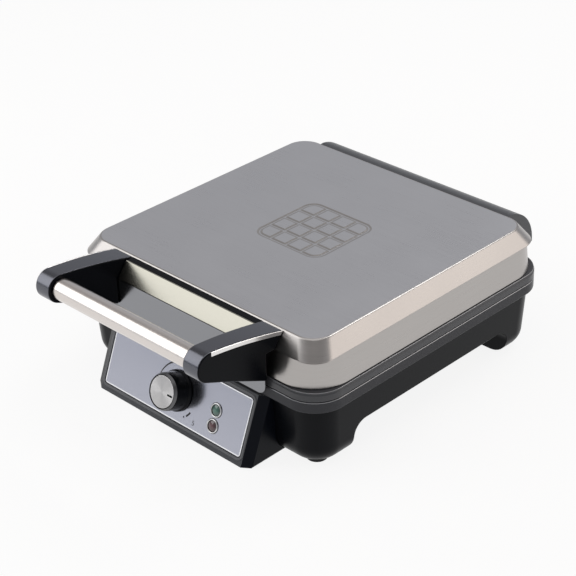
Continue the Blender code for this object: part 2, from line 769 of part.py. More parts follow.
def panel_frame():
    """The sloping panel's own axes: origin at the foot of the housing's face, Y up the slope, Z outwards."""
    turn = Matrix.Rotation(math.radians(90) - HOUSING_TILT, 4, "X")
    foot = Vector((0, -(HALF_Y + HOUSING_REACH), HOUSING_LIFT))
    return Matrix.Translation(foot) @ turn


def housing_rings(inset, low_z, high_z):
    """Plan outlines of the housing, its lower corners cut off, taken in by a wall thickness."""
    rings = []
    rear = -(HALF_Y - HOUSING_BACK_INTO_BASE)
    full = HOUSING_WIDTH / 2 + HOUSING_CHAMFER - inset
    face = HOUSING_WIDTH / 2 - inset
    corner_z = HOUSING_LIFT + HOUSING_CORNER_RISE + inset
    for z, side in ((low_z, full - HOUSING_CORNER_CUT), (corner_z, full), (high_z, full)):
        front = -(HALF_Y + HOUSING_REACH) + (z - HOUSING_LIFT) * math.tan(HOUSING_TILT)
        front += inset / math.cos(HOUSING_TILT)
        shoulder = front + HOUSING_CHAMFER_DEPTH
        left = ((-side, rear), (-side, shoulder), (-face, front))
        right = ((face, front), (side, shoulder), (side, rear))
        rings.append([(x, y, z) for x, y in left + right])
    return rings


def make_housing(base):
    """Hollow control housing that fits round the front of the base."""
    top_z = RIM_LOW_Z - GAP
    outer = loft(housing_rings(0, HOUSING_LIFT, top_z), "control_housing")
    housing = add_object("control_housing", outer, "black_plastic", base)
    inner = housing_rings(HOUSING_WALL, HOUSING_LIFT + HOUSING_WALL, top_z - HOUSING_WALL)
    cut(housing, loft(inner, "housing_inside"))
    cut(housing, base_form(GAP, "housing_back"))
    frame = panel_frame()
    recess = PANEL_SHEET - PANEL_PROUD + GAP
    middle = PANEL_UP + PANEL_HEIGHT / 2
    half_x, half_y = PANEL_WIDTH / 2 + GAP, PANEL_HEIGHT / 2 + GAP
    low = [(x, y + middle, -recess) for x, y, _ in ring(half_x, half_y, PANEL_CORNER + GAP, 0)]
    high = [(x, y + middle, OVERRUN) for x, y, _ in ring(half_x, half_y, PANEL_CORNER + GAP, 0)]
    cut(housing, loft([low, high], "panel_recess")).matrix_local = frame
    for hole, x, up, radius in panel_holes():
        bit = cylinder(radius, (x, up, -HOUSING_WALL - OVERRUN), (x, up, OVERRUN), f"housing_{hole}")
        cut(housing, bit).matrix_local = frame
    return housing


def panel_holes():
    """The holes through the front panel: name, place across, place up the slope, radius."""
    lamp = LENS_RADIUS + BEZEL_WALL + 2 * GAP
    return (
        ("dial_hole", DIAL_X, DIAL_UP, SHAFT_HOLE_RADIUS),
        ("ready_hole", LAMP_X, READY_UP, lamp),
        ("power_hole", LAMP_X, POWER_UP, lamp),
    )


def make_panel(base):
    """Steel plate on the housing, with holes for the dial's shaft and the lamps."""
    middle = PANEL_UP + PANEL_HEIGHT / 2
    edge = [(x, y + middle) for x, y, _ in ring(PANEL_WIDTH / 2, PANEL_HEIGHT / 2, PANEL_CORNER, 0)]
    outlines = [edge] + [circle(x, up, radius) for _, x, up, radius in panel_holes()]
    panel = plane_curve("panel_plate", outlines, PANEL_SHEET, "satin_steel", base)
    panel.matrix_local = panel_frame() @ Matrix.Translation((0, 0, PANEL_PROUD - PANEL_SHEET / 2))
    return panel


def make_lamps(base):
    """Ready and power lamps: a bright bezel, a domed lens and the lamp body behind it."""
    frame = panel_frame()
    for name, up, lens_finish in (("ready", READY_UP, "green_lens"), ("power", POWER_UP, "red_lens")):
        place = frame @ Matrix.Translation((LAMP_X, up, PANEL_PROUD))
        outer = LENS_RADIUS + GAP + BEZEL_WALL
        inner = LENS_RADIUS + GAP
        profile = (
            (inner, BEZEL_PROUD),
            (outer - BEZEL_PROUD / 2, BEZEL_PROUD),
            (outer, BEZEL_PROUD / 2),
            (outer, -BEZEL_LENGTH),
            (inner, -BEZEL_LENGTH),
        )
        turned(f"{name}_bezel", profile, "bright_trim", base).matrix_local = place
        low = -BEZEL_LENGTH / 2
        dome = [(LENS_RADIUS * math.sin(a), LENS_DOME * math.cos(a)) for a in quarter_turns(4)]
        profile = [(0, LENS_DOME)] + dome[1:] + [(LENS_RADIUS, low), (0, low)]
        turned(f"{name}_lens", profile, lens_finish, base).matrix_local = place
        start = frame @ Vector((LAMP_X, up, PANEL_PROUD + low - GAP))
        end = frame @ Vector((LAMP_X, up, PANEL_PROUD + low - GAP - LAMP_BODY_LENGTH))
        body = cylinder(LAMP_BODY_RADIUS, start, end, f"{name}_lamp_body", SMALL_STEPS)
        add_object(f"{name}_lamp_body", body, "cream_plastic", base)


def quarter_turns(steps):
    """Angles over a quarter turn."""
    return [math.pi / 2 * step / steps for step in range(steps + 1)]


def make_thermostat(base):
    """Thermostat body behind the panel, bored for the dial's shaft."""
    frame = panel_frame()
    top = -HOUSING_WALL - GAP
    place = frame @ Matrix.Translation((DIAL_X, DIAL_UP, top))
    bore = SHAFT_RADIUS + GAP
    deep = SHAFT_IN_THERMOSTAT + GAP
    profile = (
        (0, -deep),
        (bore, -deep),
        (bore, 0),
        (THERMOSTAT_RADIUS, 0),
        (THERMOSTAT_RADIUS, -THERMOSTAT_LENGTH),
        (0, -THERMOSTAT_LENGTH),
    )
    turned("thermostat_body", profile, "cream_plastic", base).matrix_local = place


def make_dial(dial):
    """Dial with its steel cap, pointer and shaft. The dial's own Z is its axis, from the panel outwards."""
    foot = PANEL_PROUD + DIAL_LIFT
    top = foot + DIAL_HEIGHT
    top_radius = DIAL_RADIUS - DIAL_DRAFT
    pocket = CAP_RADIUS + GAP
    pocket_floor = top - CAP_SINK - CAP_SHEET - GAP
    bore = SHAFT_RADIUS + GAP
    bore_top = foot + SHAFT_IN_DIAL + GAP
    skirt = DIAL_RADIUS + DIAL_SKIRT
    profile = (
        (0, pocket_floor),
        (pocket, pocket_floor),
        (pocket, top),
        (top_radius - DIAL_EDGE_OUT, top),
        (top_radius, top - DIAL_EDGE_DOWN),
        (DIAL_RADIUS, foot + DIAL_SKIRT_HEIGHT),
        (skirt, foot + DIAL_SKIRT_HEIGHT / 2),
        (skirt, foot),
        (bore, foot),
        (bore, bore_top),
        (0, bore_top),
    )
    steps = 2 * ROUND_STEPS
    turned("dial_knob", profile, "black_plastic", dial, steps)
    cap_top = top - CAP_SINK
    edge = CAP_SHEET / 4
    profile = (
        (0, cap_top),
        (CAP_RADIUS - edge, cap_top),
        (CAP_RADIUS, cap_top - edge),
        (CAP_RADIUS, cap_top - CAP_SHEET),
        (0, cap_top - CAP_SHEET),
    )
    turned("dial_cap", profile, "brushed_steel", dial, steps)
    low = (POINTER_OUT, -POINTER_WIDTH / 2, cap_top + GAP / 4)
    high = (POINTER_OUT + POINTER_LENGTH, POINTER_WIDTH / 2, cap_top + POINTER_PROUD)
    add_object("dial_pointer", block(low, high, "dial_pointer"), "black_plastic", dial)
    shaft_low = -HOUSING_WALL - GAP - SHAFT_IN_THERMOSTAT
    shaft = cylinder(SHAFT_RADIUS, (0, 0, shaft_low), (0, 0, foot + SHAFT_IN_DIAL), "dial_shaft", SMALL_STEPS)
    add_object("dial_shaft", shaft, "zinc", dial)


def make_gland(base):
    """Bush in the rear wall through which the mains lead enters."""
    neck = WALL + GLAND_FLANGE / 2
    profile = (
        (GLAND_BORE_RADIUS, GLAND_FLANGE),
        (GLAND_FLANGE_RADIUS - GLAND_FLANGE / 2, GLAND_FLANGE),
        (GLAND_FLANGE_RADIUS, GLAND_FLANGE / 2),
        (GLAND_FLANGE_RADIUS, 0),
        (GLAND_RADIUS, 0),
        (GLAND_RADIUS, -neck),
        (GLAND_BORE_RADIUS, -neck),
    )
    gland = turned("cord_gland", profile, "rubber", base)
    gland.location = (GLAND_X, WALL_Y + GAP, GLAND_Z)
    gland.rotation_euler = (math.radians(-90), 0, 0)


def make_terminals(base):
    """Terminal block on the floor behind the gland, and the fuse under the lower plate."""
    y = CAVITY_Y - TERMINAL_WIDTH - WALL
    low = (GLAND_X - TERMINAL_LENGTH / 2, y - TERMINAL_WIDTH / 2, FLOOR_Z + GAP)
    high = (GLAND_X + TERMINAL_LENGTH / 2, y + TERMINAL_WIDTH / 2, FLOOR_Z + GAP + TERMINAL_HEIGHT)
    terminals = add_object("terminal_block", block(low, high, "terminal_block"), "cream_plastic", base)
    pitch = TERMINAL_LENGTH / TERMINAL_POLES
    for i in range(1, TERMINAL_POLES):
        x = low[0] + pitch * i
        groove_low = (x - TERMINAL_GROOVE / 2, low[1] - OVERRUN, high[2] - TERMINAL_HEIGHT / 2)
        groove_high = (x + TERMINAL_GROOVE / 2, high[1] + OVERRUN, high[2] + OVERRUN)
        cut(terminals, block(groove_low, groove_high, f"terminal_groove_{i}"))
    z = LOWER_PLATE_Z - PLATE_THICK - GAP - FUSE_RADIUS
    fuse = cylinder(FUSE_RADIUS, (-FUSE_LENGTH / 2, 0, z), (FUSE_LENGTH / 2, 0, z), "thermal_fuse", SMALL_STEPS)
    add_object("thermal_fuse", fuse, "zinc", base)


def make_forks(base):
    """Forked hinge brackets on the base's rear wall, and their pins."""
    wall = WALL_Y + GAP
    under_rim = RIM_LOW_Z - 2 * GAP
    foot_z = HINGE_Z - FORK_FOOT_DROP
    eye = [(HINGE_Y + y, HINGE_Z + z) for y, z in half_round(HINGE_EYE_RADIUS)]
    outline = [(wall, foot_z), (HINGE_Y - HINGE_EYE_RADIUS / 2, foot_z)] + eye
    outline += [(RIM_Y + 4 * GAP, under_rim), (wall, under_rim)]
    half = LID_ARM_THICK / 2
    for name, sign in (("left", -1), ("right", 1)):
        x = sign * HINGE_X
        outer = half + FORK_CHEEK
        mesh = prism(outline, x - outer, x + outer, f"hinge_fork_{name}")
        fork = add_object(f"hinge_fork_{name}", mesh, "black_plastic", base)
        slot_low = (x - half - GAP, RIM_Y + 2 * GAP, HINGE_Z - HINGE_EYE_RADIUS - 4 * GAP)
        slot_high = (x + half + GAP, HINGE_Y + HINGE_EYE_RADIUS + OVERRUN, HINGE_Z + HINGE_EYE_RADIUS + OVERRUN)
        cut(fork, block(slot_low, slot_high, f"fork_slot_{name}"))
        start = (x - outer - OVERRUN, HINGE_Y, HINGE_Z)
        end = (x + outer + OVERRUN, HINGE_Y, HINGE_Z)
        cut(fork, cylinder(PIN_RADIUS + GAP, start, end, f"fork_bore_{name}", SMALL_STEPS))
        reach = outer + PIN_END
        pin = cylinder(PIN_RADIUS, (x - reach, HINGE_Y, HINGE_Z), (x + reach, HINGE_Y, HINGE_Z),
                       f"hinge_pin_{name}", SMALL_STEPS)
        add_object(f"hinge_pin_{name}", pin, "zinc", base)


def half_round(radius, start=-90, end=180, steps=12):
    """Points round part of a circle, from the rear-bottom over the top to the front."""
    turns = [math.radians(start + (end - start) * step / steps) for step in range(steps + 1)]
    return [(radius * math.cos(turn), radius * math.sin(turn)) for turn in turns]


def to_lid(mesh):
    """Moves a mesh made in the body's axes to the lid's, whose origin is on the hinge."""
    mesh.transform(Matrix.Translation((0, -HINGE_Y, -HINGE_Z)))
    return mesh


def lid_rings(inset):
    """The lid cover's outline from the top face down, taken in by a sheet thickness."""
    rows = (
        (0, 0, LID_CORNER),
        (LID_EDGE_ROUND, LID_EDGE_FALL, LID_CORNER + LID_EDGE_ROUND),
        (BEVEL_OUT, BEVEL_DROP, BEVEL_CORNER),
        (BEVEL_OUT, BEVEL_DROP + LEDGE_DROP, BAND_CORNER_TOP),
        (BAND_OUT, BAND_DROP, BAND_CORNER_FOOT),
    )
    rings = []
    for index, (out, drop, corner) in enumerate(rows):
        lower = drop if index == len(rows) - 1 else drop + inset
        rings.append(ring(HALF_X + out - inset, HALF_Y + out - inset, corner - inset / 2, LID_TOP_Z - lower))
    return rings


def make_lid_cover(lid):
    """Pressed steel cover, open below."""
    rings = lid_rings(LID_SHEET) + lid_rings(0)[::-1]
    return add_object("lid_cover", to_lid(loft(rings, "lid_cover")), "brushed_steel", lid)


def make_lid_frame(lid):
    """Black frame round the lid's foot, with a shelf that carries the upper grid plate."""
    flange = PLATE_FLANGE_OUT + GAP
    shelf_z = UPPER_PLATE_Z + PLATE_FLANGE_DROP - GAP
    half_x, half_y = PLATE_WIDTH / 2, PLATE_DEPTH / 2
    lip = 2 * GAP
    low_z = FRAME_LOW_Z + RIM_ROUND
    rings = [
        ring(half_x + lip, half_y + lip, PLATE_CORNER + lip, low_z),
        ring(CAVITY_X - WALL, CAVITY_Y - WALL, WALL_CORNER - WALL, low_z),
        ring(CAVITY_X - WALL / 2, CAVITY_Y - WALL / 2, WALL_CORNER - WALL, FRAME_LOW_Z),
        ring(RIM_X - RIM_ROUND / 2, RIM_Y - RIM_ROUND / 2, RIM_CORNER, FRAME_LOW_Z),
        ring(RIM_X, RIM_Y, RIM_CORNER, FRAME_LOW_Z + RIM_ROUND / 2),
        ring(RIM_X, RIM_Y, RIM_CORNER, FRAME_TOP_Z - RIM_ROUND),
        ring(RIM_X - RIM_ROUND / 2, RIM_Y - RIM_ROUND / 2, RIM_CORNER, FRAME_TOP_Z),
        ring(half_x + flange, half_y + flange, PLATE_CORNER + flange, FRAME_TOP_Z),
        ring(half_x + flange, half_y + flange, PLATE_CORNER + flange, shelf_z),
        ring(half_x + lip, half_y + lip, PLATE_CORNER + lip, shelf_z),
    ]
    mesh = to_lid(loft(rings, "lid_frame", closed=True))
    return add_object("lid_frame", mesh, "grey_black_plastic", lid)


def front(out, drop):
    """A point in front of the lid: reach beyond the top face's front edge, and drop below the top face."""
    return (-(HALF_Y + out), LID_TOP_Z - drop)


def arm_top(share):
    """A point on an arm's crowned top line as (reach, rise above the lid): its rear end at 0, the nose at 1."""
    rear = Vector((LID_EDGE_ROUND + 2 * GAP, -ARM_TOP_DROP))
    reach = TUBE_OUT - ARM_NOSE_RADIUS * math.cos(ARM_NOSE_START)
    nose = Vector((reach, ARM_NOSE_RADIUS * math.sin(ARM_NOSE_START) - ARM_NOSE_DROP))
    crown = Vector((0, 4 * ARM_CROWN * share * (1 - share)))
    return rear + (nose - rear) * share + crown


def arm_outline():
    """Side view of a handle arm, from its rear end along the top, round the nose and back to the heel."""
    nose_y = -(HALF_Y + TUBE_OUT)
    heel_out = APRON_OUT + GAP
    rear_out = BEVEL_OUT + 3 * GAP
    points = []
    for step in range(ARM_TOP_STEPS):
        reach, rise = arm_top(step / ARM_TOP_STEPS)
        points.append(front(reach, -rise))
    for step in range(NOSE_STEPS + 1):
        angle = ARM_NOSE_START + (ARM_NOSE_END - ARM_NOSE_START) * step / NOSE_STEPS
        points.append((nose_y + ARM_NOSE_RADIUS * math.cos(angle), TUBE_Z + ARM_NOSE_RADIUS * math.sin(angle)))
    points.append(front(ARM_BELLY_OUT, ARM_BELLY_DROP))
    points.append(front(heel_out, ARM_HEEL_DROP))
    points.append(front(rear_out, ARM_HEEL_DROP))
    points.append(front(rear_out, STRIP_DROP))
    return points


def taper_arm(mesh, sign):
    """Slants an arm's inner face outwards towards the nose, and its outer face outwards towards the lid."""
    for vertex in mesh.vertices:
        reach = -vertex.co.y - HALF_Y
        inner = abs(vertex.co.x) < ARM_INSIDE + ARM_WIDTH / 2
        vertex.co.x += sign * (arm_slant(reach) if inner else arm_flare(reach))
    return mesh


def arm_slant(reach):
    """How far the arm's inner face stands outwards at a reach in front of the lid."""
    return ARM_TAPER * reach / ARM_FRONT


def arm_flare(reach):
    """How far the arm's outer face stands outwards at a reach in front of the lid."""
    return ARM_FLARE * (1 - reach / ARM_FRONT)


def arm_notch():
    """Side view of what is cut from under an arm, where the lid and the apron stand."""
    heel_out = APRON_OUT + GAP
    shelf_drop = STRIP_DROP + APRON_LINE - GAP
    low = ARM_HEEL_DROP + OVERRUN
    return [front(0, shelf_drop), front(heel_out, shelf_drop), front(heel_out, low), front(0, low)]


def trim_outline(grow, rise):
    """Side view of the bright strip along an arm's top edge, grown by a clearance and raised past the top."""
    length = (arm_top(1) - arm_top(0)).length
    last = 1 - (TRIM_END - grow) / length
    height = TRIM_HEIGHT + grow
    slant = height * BEVEL_OUT / BEVEL_DROP
    upper = [front(reach, -up - rise) for reach, up in arm_line(-rise / length, last)]
    lower = [front(reach, height - up) for reach, up in arm_line((slant - rise) / length, last)]
    return upper + lower[::-1]


def arm_line(first, last):
    """Points along an arm's top line between two shares of its length."""
    return [arm_top(first + (last - first) * step / ARM_TOP_STEPS) for step in range(ARM_TOP_STEPS + 1)]


def make_handle(lid):
    """Two arms with bright strips, and the steel tube clamped between them by a rod."""
    outside = ARM_INSIDE + ARM_WIDTH
    inside = ARM_INSIDE + arm_slant(TUBE_OUT)
    tube_y = -(HALF_Y + TUBE_OUT)
    for name, sign in (("left", -1), ("right", 1)):
        xs = sorted((sign * ARM_INSIDE, sign * outside))
        arm_mesh = to_lid(taper_arm(prism(arm_outline(), xs[0], xs[1], f"handle_arm_{name}"), sign))
        arm = add_object(f"handle_arm_{name}", arm_mesh, "black_plastic", lid)
        soften(arm, ARM_EDGE)
        notch_xs = sorted((sign * (ARM_INSIDE - OVERRUN), sign * (outside + OVERRUN)))
        cut(arm, to_lid(prism(arm_notch(), notch_xs[0], notch_xs[1], f"arm_notch_{name}")))
        rebate_xs = sorted((sign * (outside - TRIM_THICK - GAP), sign * (outside + OVERRUN)))
        rebate = prism(trim_outline(GAP, OVERRUN), rebate_xs[0], rebate_xs[1], f"trim_rebate_{name}")
        cut(arm, to_lid(taper_arm(rebate, sign)))
        trim_xs = sorted((sign * (outside - TRIM_THICK), sign * outside))
        trim = taper_arm(prism(trim_outline(0, 0), trim_xs[0], trim_xs[1], f"arm_trim_{name}"), sign)
        add_object(f"arm_trim_{name}", to_lid(trim), "bright_trim", lid)
        start = (sign * (ARM_INSIDE - OVERRUN), tube_y, TUBE_Z)
        end = (sign * (inside + ROD_IN_ARM + GAP), tube_y, TUBE_Z)
        cut(arm, to_lid(cylinder(ROD_RADIUS + GAP, start, end, f"rod_hole_{name}", SMALL_STEPS)))
    half = ARM_INSIDE + arm_slant(TUBE_OUT - TUBE_RADIUS) - GAP
    inner = TUBE_RADIUS - TUBE_WALL
    profile = ((inner, half), (TUBE_RADIUS, half), (TUBE_RADIUS, -half), (inner, -half))
    tube = turned("handle_tube", profile, "brushed_steel", lid, 2 * ROUND_STEPS)
    tube.rotation_euler = (0, math.radians(90), 0)
    tube.location = (0, tube_y - HINGE_Y, TUBE_Z - HINGE_Z)
    reach = inside + ROD_IN_ARM
    rod = cylinder(ROD_RADIUS, (-reach, tube_y, TUBE_Z), (reach, tube_y, TUBE_Z), "handle_rod", SMALL_STEPS)
    add_object("handle_rod", to_lid(rod), "zinc", lid)


def make_bracket(lid):
    """Bar, sloping strip, carrier and apron in front of the lid, between and below the arms."""
    inside = ARM_INSIDE - GAP
    outside = ARM_INSIDE + ARM_WIDTH
    top_drop = ARM_TOP_DROP
    slope_start = Vector((BAR_DEPTH, top_drop))
    slope_end = Vector((STRIP_OUT, STRIP_DROP))
    along = (slope_end - slope_start).normalized()
    inward = Vector((-STRIP_SHEET / along.y, 0))
    strip = (slope_start, slope_end, slope_end + inward, slope_start + inward)
    strip_mesh = prism([front(*point) for point in strip], -inside, inside, "bracket_strip")
    add_object("bracket_strip", to_lid(strip_mesh), "brushed_steel", lid)
    seat = inward - Vector((GAP / along.y, 0))
    bar = (
        Vector((LID_EDGE_ROUND + 2 * GAP, top_drop)),
        slope_start + seat,
        slope_end + seat,
        Vector((BEVEL_OUT + 3 * GAP, STRIP_DROP)),
    )
    bar_mesh = prism([front(*point) for point in bar], -inside, inside, "bracket_bar")
    add_object("bracket_bar", to_lid(bar_mesh), "black_plastic", lid)
    carrier_top = STRIP_DROP + APRON_LINE + GAP
    carrier_out = APRON_OUT - APRON_SHEET - GAP
    frame_top = BAND_DROP
    frame_low = LID_TOP_Z - FRAME_LOW_Z + GAP
    carrier = (
        (BEVEL_OUT + 3 * GAP, carrier_top),
        (carrier_out, carrier_top),
        (carrier_out, APRON_DROP),
        (RIM_OUT + CARRIER_CLEAR, APRON_DROP),
        (RIM_OUT + CARRIER_CLEAR, frame_low),
        (RIM_OUT + 2 * GAP, frame_low),
        (RIM_OUT + 2 * GAP, frame_top),
        (BAND_OUT + 2 * GAP, frame_top),
    )
    half = outside - APRON_CORNER
    carrier_mesh = prism([front(*point) for point in carrier], -half, half, "bracket_carrier")
    add_object("bracket_carrier", to_lid(carrier_mesh), "black_plastic", lid)
    apron_top = STRIP_DROP + APRON_LINE
    height = APRON_DROP - apron_top
    outline = [(x, y) for x, y, _ in ring(outside - APRON_INSET, height / 2, APRON_CORNER, 0)]
    apron = plane_curve("bracket_apron", [outline], APRON_SHEET, "satin_steel", lid)
    apron.rotation_euler = (math.radians(90), 0, 0)
    y, z = front(APRON_OUT - APRON_SHEET / 2, apron_top + height / 2)
    apron.location = (0, y - HINGE_Y, z - HINGE_Z)


def rear_cover_arc(inset, start):
    """The rear cover's quarter round as (y, z) points from an angle down to its rear, taken in by a wall."""
    centre_y = HALF_Y + LID_EDGE_ROUND
    centre_z = LID_TOP_Z - REAR_COVER_TOP_DROP - REAR_COVER_RISE
    points = []
    for step in range(REAR_COVER_STEPS + 1):
        angle = start * (1 - step / REAR_COVER_STEPS)
        y = centre_y + (REAR_COVER_REACH - inset) * math.cos(angle)
        points.append((y, centre_z + (REAR_COVER_RISE - inset) * math.sin(angle)))
    return points


def make_rear_cover(lid):
    """Quarter-round cover along the lid's rear edge, hollow and open below for the hinges."""
    skirt_z = LID_TOP_Z - REAR_COVER_TOP_DROP - REAR_COVER_RISE - REAR_COVER_SKIRT
    rear_y = HALF_Y + LID_EDGE_ROUND + REAR_COVER_REACH
    outer = rear_cover_arc(0, REAR_COVER_START)
    band_foot = (HALF_Y + BAND_OUT + 2 * GAP, LID_TOP_Z - BAND_DROP + GAP)
    frame_side = RIM_Y + 2 * GAP
    outline = [(HALF_Y + LID_EDGE_ROUND + 3 * GAP, LID_TOP_Z - LID_EDGE_ROUND)] + outer
    outline += [(rear_y, skirt_z), (frame_side, skirt_z), (frame_side, FRAME_TOP_Z + 2 * GAP)]
    outline += [band_foot, (HALF_Y + BEVEL_OUT + 3 * GAP, LID_TOP_Z - BEVEL_DROP)]
    half = REAR_COVER_WIDTH / 2
    mesh = to_lid(prism(outline, -half, half, "rear_cover"))
    cover = add_object("rear_cover", mesh, "grey_black_plastic", lid)
    inner = rear_cover_arc(REAR_COVER_WALL, REAR_COVER_INNER_START)
    wall_y = rear_y - REAR_COVER_WALL
    inner_front = HALF_Y + BAND_OUT + REAR_COVER_WALL
    hollow = inner + [(wall_y, skirt_z - OVERRUN), (frame_side - OVERRUN, skirt_z - OVERRUN)]
    hollow += [(frame_side - OVERRUN, FRAME_TOP_Z), (inner_front, FRAME_TOP_Z + REAR_COVER_WALL)]
    half_inside = half - REAR_COVER_WALL
    cut(cover, to_lid(prism(hollow, -half_inside, half_inside, "rear_cover_inside")))
    return cover


def make_lid_arms(lid):
    """Steel hinge arms inside the rear cover, one in each fork."""
    eye = half_round(HINGE_EYE_RADIUS, -180, 0)
    outline = eye + [
        (LID_ARM_REAR, HINGE_EYE_RADIUS),
        (LID_ARM_REAR, LID_ARM_REAR_RISE),
        (-HINGE_EYE_RADIUS, LID_ARM_RISE),
        (-LID_ARM_TAB, LID_ARM_RISE),
        (-LID_ARM_TAB, LID_ARM_REAR_RISE),
        (-HINGE_EYE_RADIUS, LID_ARM_REAR_RISE - HINGE_EYE_RADIUS / 2),
    ]
    half = LID_ARM_THICK / 2
    for name, sign in (("left", -1), ("right", 1)):
        x = sign * HINGE_X
        arm = add_object(f"lid_hinge_arm_{name}", prism(outline, x - half, x + half, f"lid_hinge_arm_{name}"),
                         "zinc", lid)
        start, end = (x - half - OVERRUN, 0, 0), (x + half + OVERRUN, 0, 0)
        cut(arm, cylinder(PIN_RADIUS + GAP, start, end, f"lid_arm_bore_{name}", SMALL_STEPS))


def make_base(base):
    """Everything that stands still."""
    make_base_shell(base)
    make_feet(base)
    make_bottom_cover(base)
    place_plate(make_grid_plate("lower_grid_plate", base), LOWER_PLATE_Z, False)
    lower_back = LOWER_PLATE_Z - PLATE_THICK
    make_element("lower_element", base, lower_back - GAP - ELEMENT_RADIUS, -1)
    make_reflector("lower_reflector", base, lower_back - GAP, -1)
    make_posts(base)
    make_deck(base)
    make_housing(base)
    make_panel(base)
    make_lamps(base)
    make_thermostat(base)
    make_gland(base)
    make_terminals(base)
    make_forks(base)


def make_lid(lid):
    """Everything that turns about the hinge pins."""
    make_lid_cover(lid)
    make_lid_frame(lid)
    place_plate(make_grid_plate("upper_grid_plate", lid), UPPER_PLATE_Z, True)
    upper_back = UPPER_PLATE_Z + PLATE_THICK
    make_element("upper_element", lid, upper_back + GAP + ELEMENT_RADIUS, 1)
    make_reflector("upper_reflector", lid, upper_back + GAP, 1)
    plate = bpy.data.objects["upper_grid_plate"]
    moved = [plate, bpy.data.objects["upper_element"], bpy.data.objects["upper_reflector"]]
    moved += [modifier.object for modifier in plate.modifiers if modifier.type == "BOOLEAN"]
    for obj in moved:
        obj.location = obj.location - Vector((0, HINGE_Y, HINGE_Z))
    make_rear_cover(lid)
    make_lid_arms(lid)
    make_bracket(lid)
    make_handle(lid)


def add_empty(name, location, parent=None):
    """An empty that carries one body."""
    empty = bpy.data.objects.new(name, None)
    empty.empty_display_size = HINGE_EYE_RADIUS
    PIECES.objects.link(empty)
    empty.location = location
    empty.parent = parent
    return empty


for old in list(bpy.data.objects):
    bpy.data.objects.remove(old, do_unlink=True)
PIECES = bpy.data.collections.new("waffle_maker")
CUTTERS = bpy.data.collections.new("cutters")
for made_collection in (PIECES, CUTTERS):
    bpy.context.scene.collection.children.link(made_collection)

body_empty = add_empty("body_origin", (0, BODY_Y, 0))
lid_empty = add_empty("lid_hinge_axis", (0, HINGE_Y, HINGE_Z), body_empty)
dial_empty = add_empty("dial_axis", (0, 0, 0), body_empty)
dial_empty.matrix_local = panel_frame() @ Matrix.Translation((DIAL_X, DIAL_UP, 0))
make_base(body_empty)
make_lid(lid_empty)
make_dial(dial_empty)
bpy.context.view_layer.update()
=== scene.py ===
"""Dressed model of a four-square Belgian waffle maker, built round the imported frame.

Metres, +Z up, the front of the appliance towards -Y and its right side towards +X. The pieces ride on the
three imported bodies: the base, the lid on its rear hinge and the dial on the sloping front panel.
"""

import json
import logging
import math
from dataclasses import dataclass
from enum import Enum
from typing import Any, Mapping, Sequence

import bmesh
import bpy
from mathutils import Matrix, Vector

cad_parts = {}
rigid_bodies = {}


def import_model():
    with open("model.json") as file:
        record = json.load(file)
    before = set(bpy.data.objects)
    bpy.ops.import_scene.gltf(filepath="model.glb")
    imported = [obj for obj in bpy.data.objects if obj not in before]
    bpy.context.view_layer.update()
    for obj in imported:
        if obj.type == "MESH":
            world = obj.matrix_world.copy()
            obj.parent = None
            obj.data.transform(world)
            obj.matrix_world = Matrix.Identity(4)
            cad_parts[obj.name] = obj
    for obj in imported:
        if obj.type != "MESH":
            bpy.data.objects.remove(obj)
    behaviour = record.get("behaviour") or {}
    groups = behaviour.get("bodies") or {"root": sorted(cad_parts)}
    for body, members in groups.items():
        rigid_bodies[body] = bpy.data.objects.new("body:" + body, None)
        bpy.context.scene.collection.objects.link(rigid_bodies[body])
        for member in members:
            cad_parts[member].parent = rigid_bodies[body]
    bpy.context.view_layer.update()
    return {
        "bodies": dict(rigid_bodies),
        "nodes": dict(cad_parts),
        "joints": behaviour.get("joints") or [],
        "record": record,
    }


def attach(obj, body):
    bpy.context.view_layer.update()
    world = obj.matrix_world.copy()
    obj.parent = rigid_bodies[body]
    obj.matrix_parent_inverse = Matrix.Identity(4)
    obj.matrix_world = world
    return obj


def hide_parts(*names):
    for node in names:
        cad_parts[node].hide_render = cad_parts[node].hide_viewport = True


LOG = logging.getLogger("waffle_maker")

Colour = tuple[float, float, float]
Row = tuple[float, ...]

# In metres: the clearance between pieces, and how far a cutting tool passes through what it cuts.
GAP = 0.0003
OVERRUN = 0.004
# Steps in a rounded corner, round a turned piece and in a softened edge.
CORNER_STEPS = 14
ROUND_STEPS = 64
EDGE_STEPS = 4
# The most of a side that one softened corner takes up, and how far large faces lead in the shading.
MOST_OF_A_SIDE = 0.49
FLATS_WEIGHT = 80
WHITE = (1.0, 1.0, 1.0)


class Body(Enum):
    """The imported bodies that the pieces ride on."""

    BASE = "base"
    LID = "lid"
    DIAL = "dial"


class Grain(Enum):
    """The way in which a metal sheet was brushed."""

    ALONG_X = "along x"
    ROUND_BAND = "round the band"
    TURNED = "turned"


class Zone(Enum):
    """The part of a moulding that has its second finish."""

    # The zones picked by the way the faces look carry painted light or shade.
    OFF_SIDES = "all but the faces that look sideways"
    ABOVE = "above a height"
    BEVEL = "the bevel round a turned piece"


